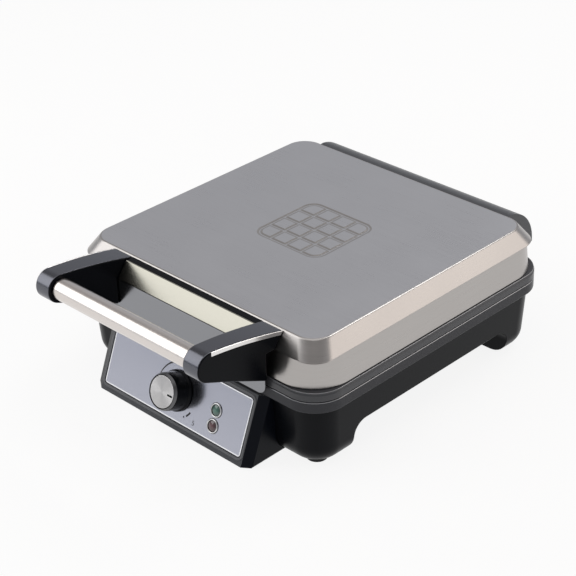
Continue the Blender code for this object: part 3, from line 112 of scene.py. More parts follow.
class Wire:
    """One output of a node. Arithmetic on wires adds Math nodes."""

    def __init__(self, graph: "Graph", socket: bpy.types.NodeSocket) -> None:
        """Keeps the graph and the socket."""
        self.graph = graph
        self.socket = socket

    def maths(self, operation: str, first: Any, second: Any) -> "Wire":
        """The value of a Math node whose two inputs are wires or numbers."""
        return self.graph.node("ShaderNodeMath", {"operation": operation}, {0: first, 1: second})

    def __add__(self, other: Any) -> "Wire":
        """This plus other."""
        return self.maths("ADD", self, other)

    def __radd__(self, other: Any) -> "Wire":
        """Other plus this."""
        return self.maths("ADD", other, self)

    def __sub__(self, other: Any) -> "Wire":
        """This less other."""
        return self.maths("SUBTRACT", self, other)

    def __rsub__(self, other: Any) -> "Wire":
        """Other less this."""
        return self.maths("SUBTRACT", other, self)

    def __mul__(self, other: Any) -> "Wire":
        """This times other."""
        return self.maths("MULTIPLY", self, other)

    def __rmul__(self, other: Any) -> "Wire":
        """Other times this."""
        return self.maths("MULTIPLY", other, self)

    def __truediv__(self, other: Any) -> "Wire":
        """This over other."""
        return self.maths("DIVIDE", self, other)

    def __pow__(self, other: Any) -> "Wire":
        """This to the power of other."""
        return self.maths("POWER", self, other)

    def __gt__(self, other: Any) -> "Wire":
        """One where this is more than other, else zero."""
        return self.maths("GREATER_THAN", self, other)


class Graph:
    """The nodes of one material or of the world."""

    def __init__(self, tree: bpy.types.NodeTree) -> None:
        """Keeps the node tree."""
        self.tree = tree

    def node(
        self,
        kind: str,
        settings: Mapping[str, Any] | None = None,
        inputs: Mapping[int | str, Any] | None = None,
        output: int | str = 0,
    ) -> Wire:
        """Adds a node.

        Args:
            kind: The node's type.
            settings: What is set on the node first; "stops" are a ramp's places and colours.
            inputs: A value or a wire for each named or numbered socket.
            output: The socket that is wanted.

        Returns:
            The wire from that socket.
        """
        made = self.tree.nodes.new(kind)
        for key, value in (settings or {}).items():
            if key != "stops":
                setattr(made, key, value)
                continue
            elements = made.color_ramp.elements
            while len(elements) < len(value):
                elements.new(1.0)
            for element, (place, colour) in zip(elements, value):
                element.position = place
                element.color = (*colour, 1.0)
        for key, value in (inputs or {}).items():
            if isinstance(value, Wire):
                self.tree.links.new(value.socket, made.inputs[key])
            else:
                made.inputs[key].default_value = value
        return Wire(self, made.outputs[output])

    def blend(self, share: Any, first: Any, second: Any) -> Wire:
        """A mix of two colours or wires, by how much of the second one shows."""
        sides = [side if isinstance(side, Wire) else (*side, 1.0) for side in (first, second)]
        return self.node("ShaderNodeMix", {"data_type": "RGBA"}, {0: share, 6: sides[0], 7: sides[1]}, 2)

    def place(self) -> Wire:
        """The place on the piece, in metres."""
        return self.node("ShaderNodeTexCoord", output="Object")

    def stretched(self, factors: Row) -> Wire:
        """The place on the piece, stretched along each axis."""
        return self.node("ShaderNodeMapping", {"vector_type": "TEXTURE"}, {
            "Vector": self.place(), "Scale": tuple(1 / factor for factor in factors)
        })

    def noise(self, vector: Wire, scale: float, detail: float = 2.0, rough: float = 0.5) -> Wire:
        """A cloud pattern between 0 and 1, with the clouds in a metre and the layers of finer ones."""
        sockets = {"Vector": vector, "Scale": scale, "Detail": detail, "Roughness": rough}
        return self.node("ShaderNodeTexNoise", None, sockets)

    def bump(self, height: Wire, strength: float, distance: float, under: Wire | None = None) -> Wire:
        """A surface normal from a pattern of heights.

        Args:
            height: The pattern.
            strength: The share of it that shows.
            distance: The height of 1, in metres.
            under: The normal that it lies over, if any.

        Returns:
            The normal.
        """
        sockets = {"Height": height, "Strength": strength, "Distance": distance}
        if under:
            sockets["Normal"] = under
        return self.node("ShaderNodeBump", None, sockets)

    def parts(self, vector: Wire) -> list[Wire]:
        """The three parts of a vector."""
        split = self.node("ShaderNodeSeparateXYZ", None, {0: vector})
        outputs = split.socket.node.outputs
        return [Wire(self, outputs[index]) for index in range(3)]

    def facing(self) -> list[Wire]:
        """The three parts of the direction that the surface looks in."""
        return self.parts(self.node("ShaderNodeTexCoord", output="Normal"))

    def from_axis(self) -> Wire:
        """How far the place on the piece is from its Z axis."""
        x, y, _ = self.parts(self.place())
        return self.node("ShaderNodeMath", {"operation": "SQRT"}, {0: x * x + y * y})


def shade(colour: Colour, factor: float) -> Colour:
    """A colour made lighter or darker by a factor."""
    return tuple(min(1.0, part * factor) for part in colour)


def either_way(pattern: Wire, amount: float) -> Wire:
    """A 0 to 1 pattern as a change of up to half an amount either way."""
    return (pattern - 0.5) * amount


@dataclass(frozen=True)
class Finish:
    """What every finish has: the record's slot that it belongs to, a colour and a gloss."""

    name: str
    slot: str
    colour: Colour
    roughness: float
    metallic: float = 0.0

    def material(self) -> bpy.types.Material:
        """The finish as a material, made once, under a name that no packed material has.

        Returns:
            The material.
        """
        label = f"{self.name}_finish"
        found = bpy.data.materials.get(label)
        if found:
            return found
        made = bpy.data.materials.new(label)
        made.use_nodes = True
        made.diffuse_color = (*self.colour, 1.0)
        graph = Graph(made.node_tree)
        shader = made.node_tree.nodes["Principled BSDF"]
        shader.inputs["Metallic"].default_value = self.metallic
        for socket, value in self.surface(graph).items():
            if isinstance(value, Wire):
                made.node_tree.links.new(value.socket, shader.inputs[socket])
            else:
                shader.inputs[socket].default_value = value
        return made

    def surface(self, graph: Graph) -> dict[str, Any]:
        """The values and wires for the shader's sockets, which each finish gives."""
        raise NotImplementedError(self.name)

    def toned(self, graph: Graph, pattern: Wire, low: float, high: float) -> Wire:
        """The finish's colour, varied by a pattern between two shades of it."""
        return graph.blend(pattern, shade(self.colour, low), shade(self.colour, high))


@dataclass(frozen=True)
class BrushedMetal(Finish):
    """Sheet with fine brushing lines, faint cloudy patches and a soft gloss, with an optional painted-light
    colour on the faces that don't look straight up.
    """

    metallic: float = 1.0
    grain: Grain = Grain.ALONG_X
    fine: float = 2600.0
    long: float = 24.0
    line_depth: float = 0.00003
    line_share: float = 0.6
    line_gloss: float = 0.12
    cloud_scale: float = 17.0
    cloud_gloss: float = 0.07
    contrast: float = 0.10
    anisotropy: float = 0.0
    turn_limit: float = 0.97
    # A colour painted on every face that doesn't look straight up: painted shade on the lid's bevel, band
    # and sign grooves, and a painted highlight on the panel plate's edge.
    painted_light_off_flat: Colour | None = None
    flat_limit: float = 0.97

    def vector(self, graph: Graph) -> Wire:
        """Where the brushing pattern is read, stretched along the brushing.

        Args:
            graph: The material's nodes.

        Returns:
            The stretched place.
        """
        if self.grain is Grain.ALONG_X:
            return graph.stretched((self.long, self.fine, self.fine))
        x, y, z = graph.parts(graph.place())
        if self.grain is Grain.TURNED:
            parts = (graph.from_axis() * self.fine, z * self.fine, 0.0)
        else:
            flat = graph.facing()[2] > self.turn_limit
            parts = (x * self.long, y * (self.long + (self.fine - self.long) * flat), z * self.fine)
        return graph.node("ShaderNodeCombineXYZ", None, dict(enumerate(parts)))

    def surface(self, graph: Graph) -> dict[str, Any]:
        """Lines in the colour, the gloss and the relief.

        Args:
            graph: The material's nodes.

        Returns:
            The shader's values and wires.
        """
        lines = graph.noise(self.vector(graph), 1.0, detail=3.0, rough=0.6)
        clouds = graph.noise(graph.place(), self.cloud_scale)
        low, high = 1 - self.contrast, 1 + self.contrast
        colour = self.toned(graph, lines * self.line_share + clouds * (1 - self.line_share), low, high)
        # Painted light: faces that don't look straight up take the off-flat colour in place of the body's.
        if self.painted_light_off_flat:
            side = graph.blend(lines, shade(self.painted_light_off_flat, low), shade(self.painted_light_off_flat, high))
            colour = graph.blend(graph.facing()[2] > self.flat_limit, side, colour)
        gloss = self.roughness + either_way(lines, self.line_gloss)
        return {
            "Base Color": colour,
            "Roughness": gloss + either_way(clouds, self.cloud_gloss),
            "Normal": graph.bump(lines, strength=0.35, distance=self.line_depth),
            "Anisotropic": self.anisotropy,
        }


@dataclass(frozen=True)
class PaintedHighlightSheet(BrushedMetal):
    """Brushed sheet with a painted highlight: its border and its edge faces take the near-white off-flat
    colour, where the plate's edge catches the light.
    """

    # Half sizes of the middle, outside which the border's painted highlight lies.
    border: Row = (0.0, 0.0)
    middle: float = 0.0

    def surface(self, graph: Graph) -> dict[str, Any]:
        """The brushed surface with the painted highlight on its border mixed in.

        Args:
            graph: The material's nodes.

        Returns:
            The shader's values and wires.
        """
        made = super().surface(graph)
        x, y, _ = graph.parts(graph.place())
        up = y - self.middle
        inside = (1 - (x * x > self.border[0] ** 2)) * (1 - (up * up > self.border[1] ** 2))
        made["Base Color"] = graph.blend(inside, self.painted_light_off_flat, made["Base Color"])
        return made


@dataclass(frozen=True)
class MouldedPlastic(Finish):
    """Moulded plastic: a fine spark-eroded grain over a faint waviness, with handling marks in the gloss."""

    grain_scale: float = 2400.0
    grain_depth: float = 0.00002
    grain_gloss: float = 0.05
    wave_scale: float = 60.0
    wave_depth: float = 0.00005
    mark_scale: float = 22.0
    mark_gloss: float = 0.08
    specular: float = 0.2

    def surface(self, graph: Graph) -> dict[str, Any]:
        """Grain, waviness and handling marks.

        Args:
            graph: The material's nodes.

        Returns:
            The shader's values and wires.
        """
        place = graph.place()
        grain = graph.noise(place, self.grain_scale)
        wave = graph.noise(place, self.wave_scale, detail=1.0)
        marks = graph.noise(place, self.mark_scale, detail=4.0, rough=0.6)
        under = graph.bump(grain, strength=0.5, distance=self.grain_depth)
        gloss = self.roughness + either_way(marks, self.mark_gloss)
        return {
            "Base Color": self.toned(graph, marks, low=0.88, high=1.14),
            "Roughness": gloss + either_way(grain, self.grain_gloss),
            "Specular IOR Level": self.specular,
            "Normal": graph.bump(wave, strength=0.4, distance=self.wave_depth, under=under),
        }


@dataclass(frozen=True)
class TwoTonePlastic(MouldedPlastic):
    """Moulded plastic that has a second colour and gloss on part of it; where the part is picked by the way
    its faces look, the second colour is painted light or shade.
    """

    zone: Zone = Zone.ABOVE
    level: float = 0.0
    bevel: Row = (0.35, 0.65)
    second: Colour = (0.05, 0.05, 0.055)
    second_roughness: float = 0.3
    second_metallic: float = 0.0

    def bevelled(self, graph: Graph, level: float) -> Wire:
        """One on the sloping faces above a height, else zero.

        Args:
            graph: The material's nodes.
            level: The height.

        Returns:
            The mask.
        """
        above = graph.parts(graph.place())[2] > level
        upright = graph.facing()[2]
        return above * (upright > self.bevel[0]) * (1 - (upright > self.bevel[1]))

    def mask(self, graph: Graph) -> Wire:
        """One where the second finish shows, else zero.

        Args:
            graph: The material's nodes.

        Returns:
            The mask.
        """
        if self.zone is Zone.OFF_SIDES:
            sideways = graph.facing()[0]
            return 1 - (sideways * sideways > self.level)
        if self.zone is Zone.BEVEL:
            return self.bevelled(graph, self.level)
        return graph.parts(graph.place())[2] > self.level

    def surface(self, graph: Graph) -> dict[str, Any]:
        """The plastic's surface with the second finish mixed in.

        Args:
            graph: The material's nodes.

        Returns:
            The shader's values and wires.
        """
        made = super().surface(graph)
        mask = self.mask(graph)
        made["Base Color"] = graph.blend(mask, made["Base Color"], self.second)
        made["Roughness"] = made["Roughness"] + mask * (self.second_roughness - self.roughness)
        made["Metallic"] = mask * self.second_metallic
        return made


@dataclass(frozen=True)
class PaintedHighlightPlastic(TwoTonePlastic):
    """Two-tone plastic with a painted highlight: a light metallic colour on the sloping faces of its rounded
    top edge, where it catches the light.
    """

    highlight_level: float = 0.0
    # The painted highlight's colour.
    edge: Colour = (0.36, 0.36, 0.37)
    highlight_metallic: float = 0.8

    def surface(self, graph: Graph) -> dict[str, Any]:
        """The plastic's surface with the painted highlight on its edge mixed in.

        Args:
            graph: The material's nodes.

        Returns:
            The shader's values and wires.
        """
        made = super().surface(graph)
        # Painted highlight on the sloping faces of the top edge.
        line = self.bevelled(graph, self.highlight_level)
        made["Base Color"] = graph.blend(line, made["Base Color"], self.edge)
        made["Metallic"] = line * self.highlight_metallic
        return made


@dataclass(frozen=True)
class PolishedMetal(Finish):
    """Bright trim with faint wiping marks."""

    metallic: float = 1.0
    wiping: Row = (40.0, 260.0, 260.0)

    def surface(self, graph: Graph) -> dict[str, Any]:
        """Wiping marks in the gloss.

        Args:
            graph: The material's nodes.

        Returns:
            The shader's values and wires.
        """
        wipe = graph.noise(graph.stretched(self.wiping), 1.0, detail=4.0, rough=0.6)
        return {
            "Base Color": self.toned(graph, wipe, low=0.95, high=1.03),
            "Roughness": self.roughness + either_way(wipe, amount=0.10),
            "Normal": graph.bump(wipe, strength=0.15, distance=0.00002),
        }


@dataclass(frozen=True)
class CastCoating(Finish):
    """Non-stick coat sprayed over a casting: a pebbled skin with speckles and duller hollows."""

    pebble_scale: float = 1500.0
    speckle_scale: float = 3400.0
    speckle_limit: float = 0.71
    speckle_share: float = 0.5
    speckle_shade: float = 3.2
    patch_scale: float = 30.0

    def surface(self, graph: Graph) -> dict[str, Any]:
        """Pebbles, speckles and patches.

        Args:
            graph: The material's nodes.

        Returns:
            The shader's values and wires.
        """
        place = graph.place()
        pebbles = graph.noise(place, self.pebble_scale, detail=3.0, rough=0.55)
        speckle = graph.noise(place, self.speckle_scale, detail=0.0) > self.speckle_limit
        patches = graph.noise(place, self.patch_scale, detail=3.0)
        body = self.toned(graph, patches, low=0.8, high=1.25)
        gloss = self.roughness + either_way(pebbles, amount=0.16)
        light = shade(self.colour, self.speckle_shade)
        return {
            "Base Color": graph.blend(speckle * self.speckle_share, body, light),
            "Roughness": gloss + either_way(patches, amount=0.1),
            "Normal": graph.bump(pebbles, strength=0.5, distance=0.00006),
        }


@dataclass(frozen=True)
class RawMetal(Finish):
    """Bare or plated metal inside the appliance, with mottled plating and heat tint."""

    metallic: float = 1.0
    tint: Colour = (0.5, 0.4, 0.3)
    tint_share: float = 0.15
    mottle_scale: float = 420.0
    heat_scale: float = 26.0

    def surface(self, graph: Graph) -> dict[str, Any]:
        """Mottling and heat tint.

        Args:
            graph: The material's nodes.

        Returns:
            The shader's values and wires.
        """
        place = graph.place()
        mottle = graph.noise(place, self.mottle_scale, detail=4.0, rough=0.65)
        heat = graph.noise(place, self.heat_scale)
        body = self.toned(graph, mottle, low=0.85, high=1.12)
        return {
            "Base Color": graph.blend(heat * self.tint_share, body, self.tint),
            "Roughness": self.roughness + either_way(mottle, amount=0.2),
            "Normal": graph.bump(mottle, strength=0.3, distance=0.00005),
        }


@dataclass(frozen=True)
class SoftRubber(Finish):
    """Dull rubber with a fine tooth and dusty patches."""

    tooth_scale: float = 2800.0
    dust_scale: float = 90.0
    dust_share: float = 0.5

    def surface(self, graph: Graph) -> dict[str, Any]:
        """Tooth and dust.

        Args:
            graph: The material's nodes.

        Returns:
            The shader's values and wires.
        """
        tooth = graph.noise(graph.place(), self.tooth_scale, detail=3.0)
        dust = graph.noise(graph.place(), self.dust_scale, detail=4.0, rough=0.6)
        return {
            "Base Color": self.toned(graph, dust * self.dust_share, low=1.0, high=3.0),
            "Roughness": self.roughness + either_way(tooth, amount=0.12),
            "Normal": graph.bump(tooth, strength=0.5, distance=0.00005),
        }


@dataclass(frozen=True)
class LampLens(Finish):
    """Tinted lens, lighter in its middle and darker towards its edge, where the darkening is painted shade
    from the ring round it, with a fine prism pattern.
    """

    radius: float = 0.0045
    # Shares of the colour in the lens's middle and at its edge, where painted shade from the ring darkens
    # it.
    middle: float = 1.9
    rim: float = 0.55
    fall: float = 1.4
    ring_turns: float = 38.0
    ring_gloss: float = 0.03
    coat_roughness: float = 0.05

    def surface(self, graph: Graph) -> dict[str, Any]:
        """A lighter middle, a darker edge of painted shade, and rings.

        Args:
            graph: The material's nodes.

        Returns:
            The shader's values and wires.
        """
        out = graph.from_axis() / self.radius
        rings = graph.node("ShaderNodeMath", {"operation": "SINE"}, {0: out * self.ring_turns})
        return {
            # Darker towards the edge: painted shade from the bezel ring.
            "Base Color": self.toned(graph, out ** self.fall, self.middle, self.rim),
            "Roughness": self.roughness + rings * self.ring_gloss,
            "Coat Weight": 1.0,
            "Coat Roughness": self.coat_roughness,
            "Normal": graph.bump(rings, strength=0.25, distance=0.00005),
        }


@dataclass(frozen=True)
class PrintedInk(Finish):
    """Screen-printed ink with a slightly uneven edge of gloss."""

    blot_scale: float = 900.0

    def surface(self, graph: Graph) -> dict[str, Any]:
        """Uneven ink.

        Args:
            graph: The material's nodes.

        Returns:
            The shader's values and wires.
        """
        blots = graph.noise(graph.place(), self.blot_scale, detail=3.0)
        return {
            "Base Color": self.toned(graph, blots, low=0.8, high=1.4),
            "Roughness": self.roughness + either_way(blots, amount=0.2),
        }


class Look:
    """The finishes of this appliance."""

    # The lid's bevel, band and sign grooves are painted darker than its top: painted shade on one sheet of
    # steel.
    lid_steel = BrushedMetal(
        "lid_steel", "brushed_steel", (0.60, 0.60, 0.62), 0.30, grain=Grain.ROUND_BAND,
        painted_light_off_flat=(0.43, 0.41, 0.395), flat_limit=0.995,
    )
    tube_steel = BrushedMetal(
        "tube_steel", "brushed_steel", (0.70, 0.655, 0.625), 0.24, contrast=0.06, line_depth=0.000008,
    )
    strip_steel = BrushedMetal("strip_steel", "brushed_steel", (0.34, 0.33, 0.285), 0.24)
    apron_steel = BrushedMetal("apron_steel", "satin_steel", (0.26, 0.264, 0.28), 0.20, contrast=0.05)
    # The near-white off-flat colour is a painted highlight along the plate's edge.
    panel_steel = PaintedHighlightSheet(
        "panel_steel", "satin_steel", (0.475, 0.485, 0.55), 0.20, contrast=0.05, painted_light_off_flat=(0.93, 0.93, 0.95),
        border=(0.0773, 0.0228), middle=0.0308,
    )
    cap_steel = BrushedMetal(
        "cap_steel", "brushed_steel", (0.56, 0.55, 0.545), 0.26, grain=Grain.TURNED, anisotropy=0.75,
        contrast=0.14,
    )
    bright_trim = PolishedMetal("bright_trim", "bright_trim", (0.80, 0.785, 0.77), 0.22)
    bezel_chrome = PolishedMetal("bezel_chrome", "bright_trim", (0.62, 0.62, 0.62), 0.16)
    black_plastic = MouldedPlastic(
        "black_plastic", "black_plastic", (0.0025, 0.003, 0.0045), 0.30, specular=0.08,
    )
    # The base's rounded rim edge carries a painted highlight.
    shell_plastic = PaintedHighlightPlastic(
        "shell_plastic", "black_plastic", (0.003, 0.0035, 0.0050), 0.30, specular=0.1,
        level=0.0553, second=(0.050, 0.051, 0.056), highlight_level=0.0640, bevel=(0.30, 0.88),
    )
    # Painted sheen: on the black arms, every face but the sideways ones takes a lighter metallic grey where
    # it catches the light.
    arm_plastic = TwoTonePlastic(
        "arm_plastic", "black_plastic", (0.002, 0.0025, 0.004), 0.26, specular=0.08, zone=Zone.OFF_SIDES,
        level=0.25, second=(0.125, 0.128, 0.145), second_roughness=0.20, second_metallic=0.9,
    )
    # Painted sheen: the knob's sloping bevel takes a lighter metallic grey where it catches the light.
    knob_plastic = TwoTonePlastic(
        "knob_plastic", "black_plastic", (0.0025, 0.003, 0.004), 0.24, specular=0.1, zone=Zone.BEVEL,
        level=0.010, second=(0.15, 0.15, 0.155), second_metallic=0.6,
    )
    # Painted light and shade: the housing's front face takes a lighter grey, and its bevelled sides stay
    # near black, on one moulding.
    housing_plastic = TwoTonePlastic(
        "housing_plastic", "black_plastic", (0.002, 0.003, 0.006), 0.34, specular=0.1, zone=Zone.OFF_SIDES,
        level=0.12, second=(0.085, 0.088, 0.094), second_roughness=0.34,
    )
    lip_plastic = MouldedPlastic("lip_plastic", "black_plastic", (0.11, 0.112, 0.118), 0.34, specular=0.4)
    # The lid frame's rounded top edge carries a painted highlight; its second colour is the same as its own.
    rim_plastic = PaintedHighlightPlastic(
        "rim_plastic", "grey_black_plastic", (0.050, 0.051, 0.056), 0.34, specular=0.4,
        second=(0.050, 0.051, 0.056), second_roughness=0.34, highlight_level=0.0725, bevel=(0.30, 0.88),
    )
    cover_plastic = MouldedPlastic(
        "cover_plastic", "grey_black_plastic", (0.055, 0.057, 0.063), 0.34, specular=0.4,
    )
    nonstick = CastCoating("nonstick", "nonstick", (0.028, 0.028, 0.029), 0.42)
    aluminium = RawMetal("aluminium", "aluminium", (0.70, 0.71, 0.72), 0.38, tint_share=0.08)
    element_steel = RawMetal(
        "element_steel", "element_steel", (0.28, 0.25, 0.23), 0.46, tint=(0.20, 0.13, 0.16),
    )
    zinc = RawMetal("zinc", "zinc", (0.60, 0.60, 0.58), 0.38, tint=(0.55, 0.52, 0.40))
    rubber = SoftRubber("rubber", "rubber", (0.016, 0.016, 0.016), 0.85)
    green_lens = LampLens("green_lens", "green_lens", (0.020, 0.080, 0.056), 0.18)
    red_lens = LampLens("red_lens", "red_lens", (0.046, 0.008, 0.011), 0.18)
    cream_plastic = MouldedPlastic("cream_plastic", "cream_plastic", (0.62, 0.58, 0.48), 0.5)
    ink = PrintedInk("ink", "black_plastic", (0.012, 0.012, 0.014), 0.5)


@dataclass(frozen=True)
class Layout:
    """Levels and half sizes that several sub-assemblies share."""

    half_x: float = 0.125
    half_y: float = 0.1235
    middle_y: float = 0.02415
    lid_top: float = 0.111
    rim_x: float = 0.1393
    rim_y: float = 0.1378
    rim_corner: float = 0.0275
    frame_top: float = 0.0735
    frame_low: float = 0.0657
    rim_top: float = 0.0651
    rim_low: float = 0.0557
    wall_x: float = 0.1348
    wall_y: float = 0.1333
    wall_corner: float = 0.024
    plate_half: float = 0.1115
    plate_corner: float = 0.010
    lower_plate: float = 0.0618
    upper_plate: float = 0.0678
    panel_tilt: float = math.radians(22.0)
    housing_reach: float = 0.039
    housing_lift: float = 0.0006

    def front_y(self) -> float:
        """Where the lid's top face ends at the front."""
        return self.middle_y - self.half_y

    def front(self, out: float, drop: float) -> Row:
        """A (y, z) point in front of the lid's top face: how far out, and how far down."""
        return (self.front_y() - out, self.lid_top - drop)

    def panel(self) -> Matrix:
        """The sloping panel's axes: Y up the slope and Z outwards, from the foot of the housing's face."""
        foot = Vector((0.0, self.front_y() - self.housing_reach, self.housing_lift))
        return Matrix.Translation(foot) @ Matrix.Rotation(math.pi / 2 - self.panel_tilt, 4, "X")

    def ring(self, half_x: float, half_y: float, corner: float, z: float) -> list[Vector]:
        """Points of a rounded rectangle about the appliance's middle, anticlockwise from its front right."""
        return [Vector((x, y + self.middle_y, z)) for x, y in Shape.rectangle(half_x, half_y, corner)]

    def stack(self, rows: Sequence[Row]) -> list[list[Vector]]:
        """Rings from (half width, height, half depth, corner) rows."""
        return [self.ring(half_x, half_y, corner, z) for half_x, z, half_y, corner in rows]


LAYOUT = Layout()


class Shape:
    """Meshes from outlines, rings, side views and turned profiles."""

    @staticmethod
    def rectangle(half_x: float, half_y: float, corner: float, steps: int = CORNER_STEPS) -> list[Row]:
        """Points of a rounded rectangle about the origin.

        Args:
            half_x: Half its width.
            half_y: Half its depth.
            corner: The radius of its corners.
            steps: Steps in each corner.

        Returns:
            The (x, y) points, anticlockwise.
        """
        points = []
        places = (
            (half_x - corner, corner - half_y, -90),
            (half_x - corner, half_y - corner, 0),
            (corner - half_x, half_y - corner, 90),
            (corner - half_x, corner - half_y, 180),
        )
        for x, y, start in places:
            for angle in Shape.quarter(start, steps):
                points.append((x + corner * math.cos(angle), y + corner * math.sin(angle)))
        return points

    @staticmethod
    def quarter(start: float, steps: int = CORNER_STEPS) -> list[float]:
        """The angles in radians through a quarter turn, from a start in degrees."""
        return [math.radians(start + 90 * step / steps) for step in range(steps + 1)]

    @staticmethod
    def circle(x: float, y: float, radius: float, steps: int = ROUND_STEPS) -> list[Row]:
        """Points round a circle."""
        turns = [math.tau * step / steps for step in range(steps)]
        return [(x + radius * math.cos(turn), y + radius * math.sin(turn)) for turn in turns]

    @staticmethod
    def softened(rows: Sequence[Row], lengths: Row, steps: int = EDGE_STEPS) -> list[Row]:
        """Rounds the corners of a line of points.

        Args:
            rows: The points; the first two numbers of each are its place in the section.
            lengths: How far along its sides each corner starts to round, or 0 to keep it.
            steps: Steps in each rounded corner.

        Returns:
            The points with their corners rounded.
        """
        made = []
        for index, (row, length) in enumerate(zip(rows, lengths)):
            if not length or index in (0, len(rows) - 1):
                made.append(row)
                continue
            ends = []
            for other in (rows[index - 1], rows[index + 1]):
                reach = math.dist(row[:2], other[:2])
                share = min(MOST_OF_A_SIDE, length / reach)
                ends.append(tuple(a + (b - a) * share for a, b in zip(row, other)))
            for step in range(steps + 1):
                t = step / steps
                weights = ((1 - t) ** 2, 2 * t * (1 - t), t * t)
                trio = zip(ends[0], row, ends[1])
                made.append(tuple(sum(w * part for w, part in zip(weights, parts)) for parts in trio))
        return made

    @staticmethod
    def finished(bm: bmesh.types.BMesh) -> bpy.types.Mesh:
        """Closes a bmesh off as a mesh whose faces point out.

        Args:
            bm: The bmesh, which is freed.

        Returns:
            The mesh.
        """
        bmesh.ops.recalc_face_normals(bm, faces=bm.faces)
        mesh = bpy.data.meshes.new("shape")
        bm.to_mesh(mesh)
        bm.free()
        return mesh

    @staticmethod
    def skin(bm: bmesh.types.BMesh, rings: Sequence[Sequence[Row]], closed: bool = False) -> list[list[Any]]:
        """Adds rings of points and the faces between them.

        Args:
            bm: The bmesh that they are added to.
            rings: The rings, of like point counts, in order.
            closed: Whether the last ring joins the first.

        Returns:
            The rings' new points.
        """
        rows = [[bm.verts.new(point) for point in points] for points in rings]
        pairs = list(zip(rows, rows[1:]))
        if closed:
            pairs.append((rows[-1], rows[0]))
        for low, high in pairs:
            for i in range(len(low)):
                j = (i + 1) % len(low)
                bm.faces.new((low[i], low[j], high[j], high[i]))
        return rows

    @staticmethod
    def fill(bm: bmesh.types.BMesh, loops: Sequence[Sequence[bmesh.types.BMVert]]) -> None:
        """Fills the flat space between loops of points.

        Args:
            bm: The bmesh that holds the points.
            loops: The outer edge and the holes.
        """
        edges = []
        for loop in loops:
            for a, b in zip(loop, list(loop[1:]) + [loop[0]]):
                edges.append(bm.edges.get((a, b)) or bm.edges.new((a, b)))
        bmesh.ops.triangle_fill(bm, use_beauty=True, use_dissolve=False, edges=edges, normal=(0, 0, 1))

    @staticmethod
    def loft(rings: Sequence[Sequence[Row]], closed: bool = False) -> bpy.types.Mesh:
        """A skin through rings of like point counts.

        Args:
            rings: The rings, in order.
            closed: Whether the last ring joins the first instead of both being capped.

        Returns:
            The mesh.
        """
        bm = bmesh.new()
        rows = Shape.skin(bm, rings, closed)
        if not closed:
            bm.faces.new(reversed(rows[0]))
            bm.faces.new(rows[-1])
        return Shape.finished(bm)

    @staticmethod
    def prism(outline: Sequence[Row], low_x: float, high_x: float) -> bpy.types.Mesh:
        """A side view of (y, z) points drawn out along X."""
        return Shape.loft([[Vector((x, y, z)) for y, z in outline] for x in (low_x, high_x)])

    @staticmethod
    def block(low: Row, high: Row) -> bpy.types.Mesh:
        """A box between two corners."""
        outline = [(low[1], low[2]), (high[1], low[2]), (high[1], high[2]), (low[1], high[2])]
        return Shape.prism(outline, low[0], high[0])

    @staticmethod
    def turned(profile: Sequence[Row], steps: int = ROUND_STEPS) -> bpy.types.Mesh:
        """A closed skin turned about Z from (radius, height) points.

        Args:
            profile: The points; a radius of 0 lies on the axis.
            steps: Steps round the axis.

        Returns:
            The mesh.
        """
        bm = bmesh.new()
        rows = []
        for radius, height in profile:
            if radius <= 0:
                rows.append([bm.verts.new((0, 0, height))])
            else:
                rows.append([bm.verts.new((x, y, height)) for x, y in Shape.circle(0, 0, radius, steps)])
        pairs = list(zip(rows, rows[1:]))
        if len(rows[0]) > 1:
            pairs.append((rows[-1], rows[0]))
        for low, high in pairs:
            for i in range(steps):
                j = (i + 1) % steps
                corners = [low[i % len(low)], low[j % len(low)], high[j % len(high)], high[i % len(high)]]
                corners = list(dict.fromkeys(corners))
                if len(corners) > 2:
                    bm.faces.new(corners)
        return Shape.finished(bm)

    @staticmethod
    def rod(start: Vector, end: Vector, radius: float) -> bpy.types.Mesh:
        """A round bar between two points.

        Args:
            start: The middle of its first end.
            end: The middle of its other end.
            radius: Its radius.

        Returns:
            The mesh.
        """
        along = end - start
        mesh = Shape.turned(((0, 0), (radius, 0), (radius, along.length), (0, along.length)))
        mesh.transform(Matrix.Translation(start) @ along.to_track_quat("Z", "Y").to_matrix().to_4x4())
        return mesh

    @staticmethod
    def sheet(outlines: Sequence[Sequence[Row]], thickness: float) -> bpy.types.Mesh:
        """A flat sheet in the XY plane, its top at z = 0.

        Args:
            outlines: Closed (x, y) outlines: the edge first, then the holes.
            thickness: How thick the sheet is.

        Returns:
            The mesh.
        """
        bm = bmesh.new()
        Shape.fill(bm, [[bm.verts.new((x, y, 0)) for x, y in outline] for outline in outlines])
        drawn = bmesh.ops.extrude_face_region(bm, geom=list(bm.faces))
        moved = [item for item in drawn["geom"] if isinstance(item, bmesh.types.BMVert)]
        bmesh.ops.translate(bm, vec=(0, 0, -thickness), verts=moved)
        return Shape.finished(bm)


def placed(name: str, data: Any) -> bpy.types.Object:
    """Adds an object to the scene.

    Args:
        name: The object's name.
        data: Its mesh, curve, light or camera.

    Returns:
        The object.
    """
    obj = bpy.data.objects.new(name, data)
    bpy.context.scene.collection.objects.link(obj)
    return obj


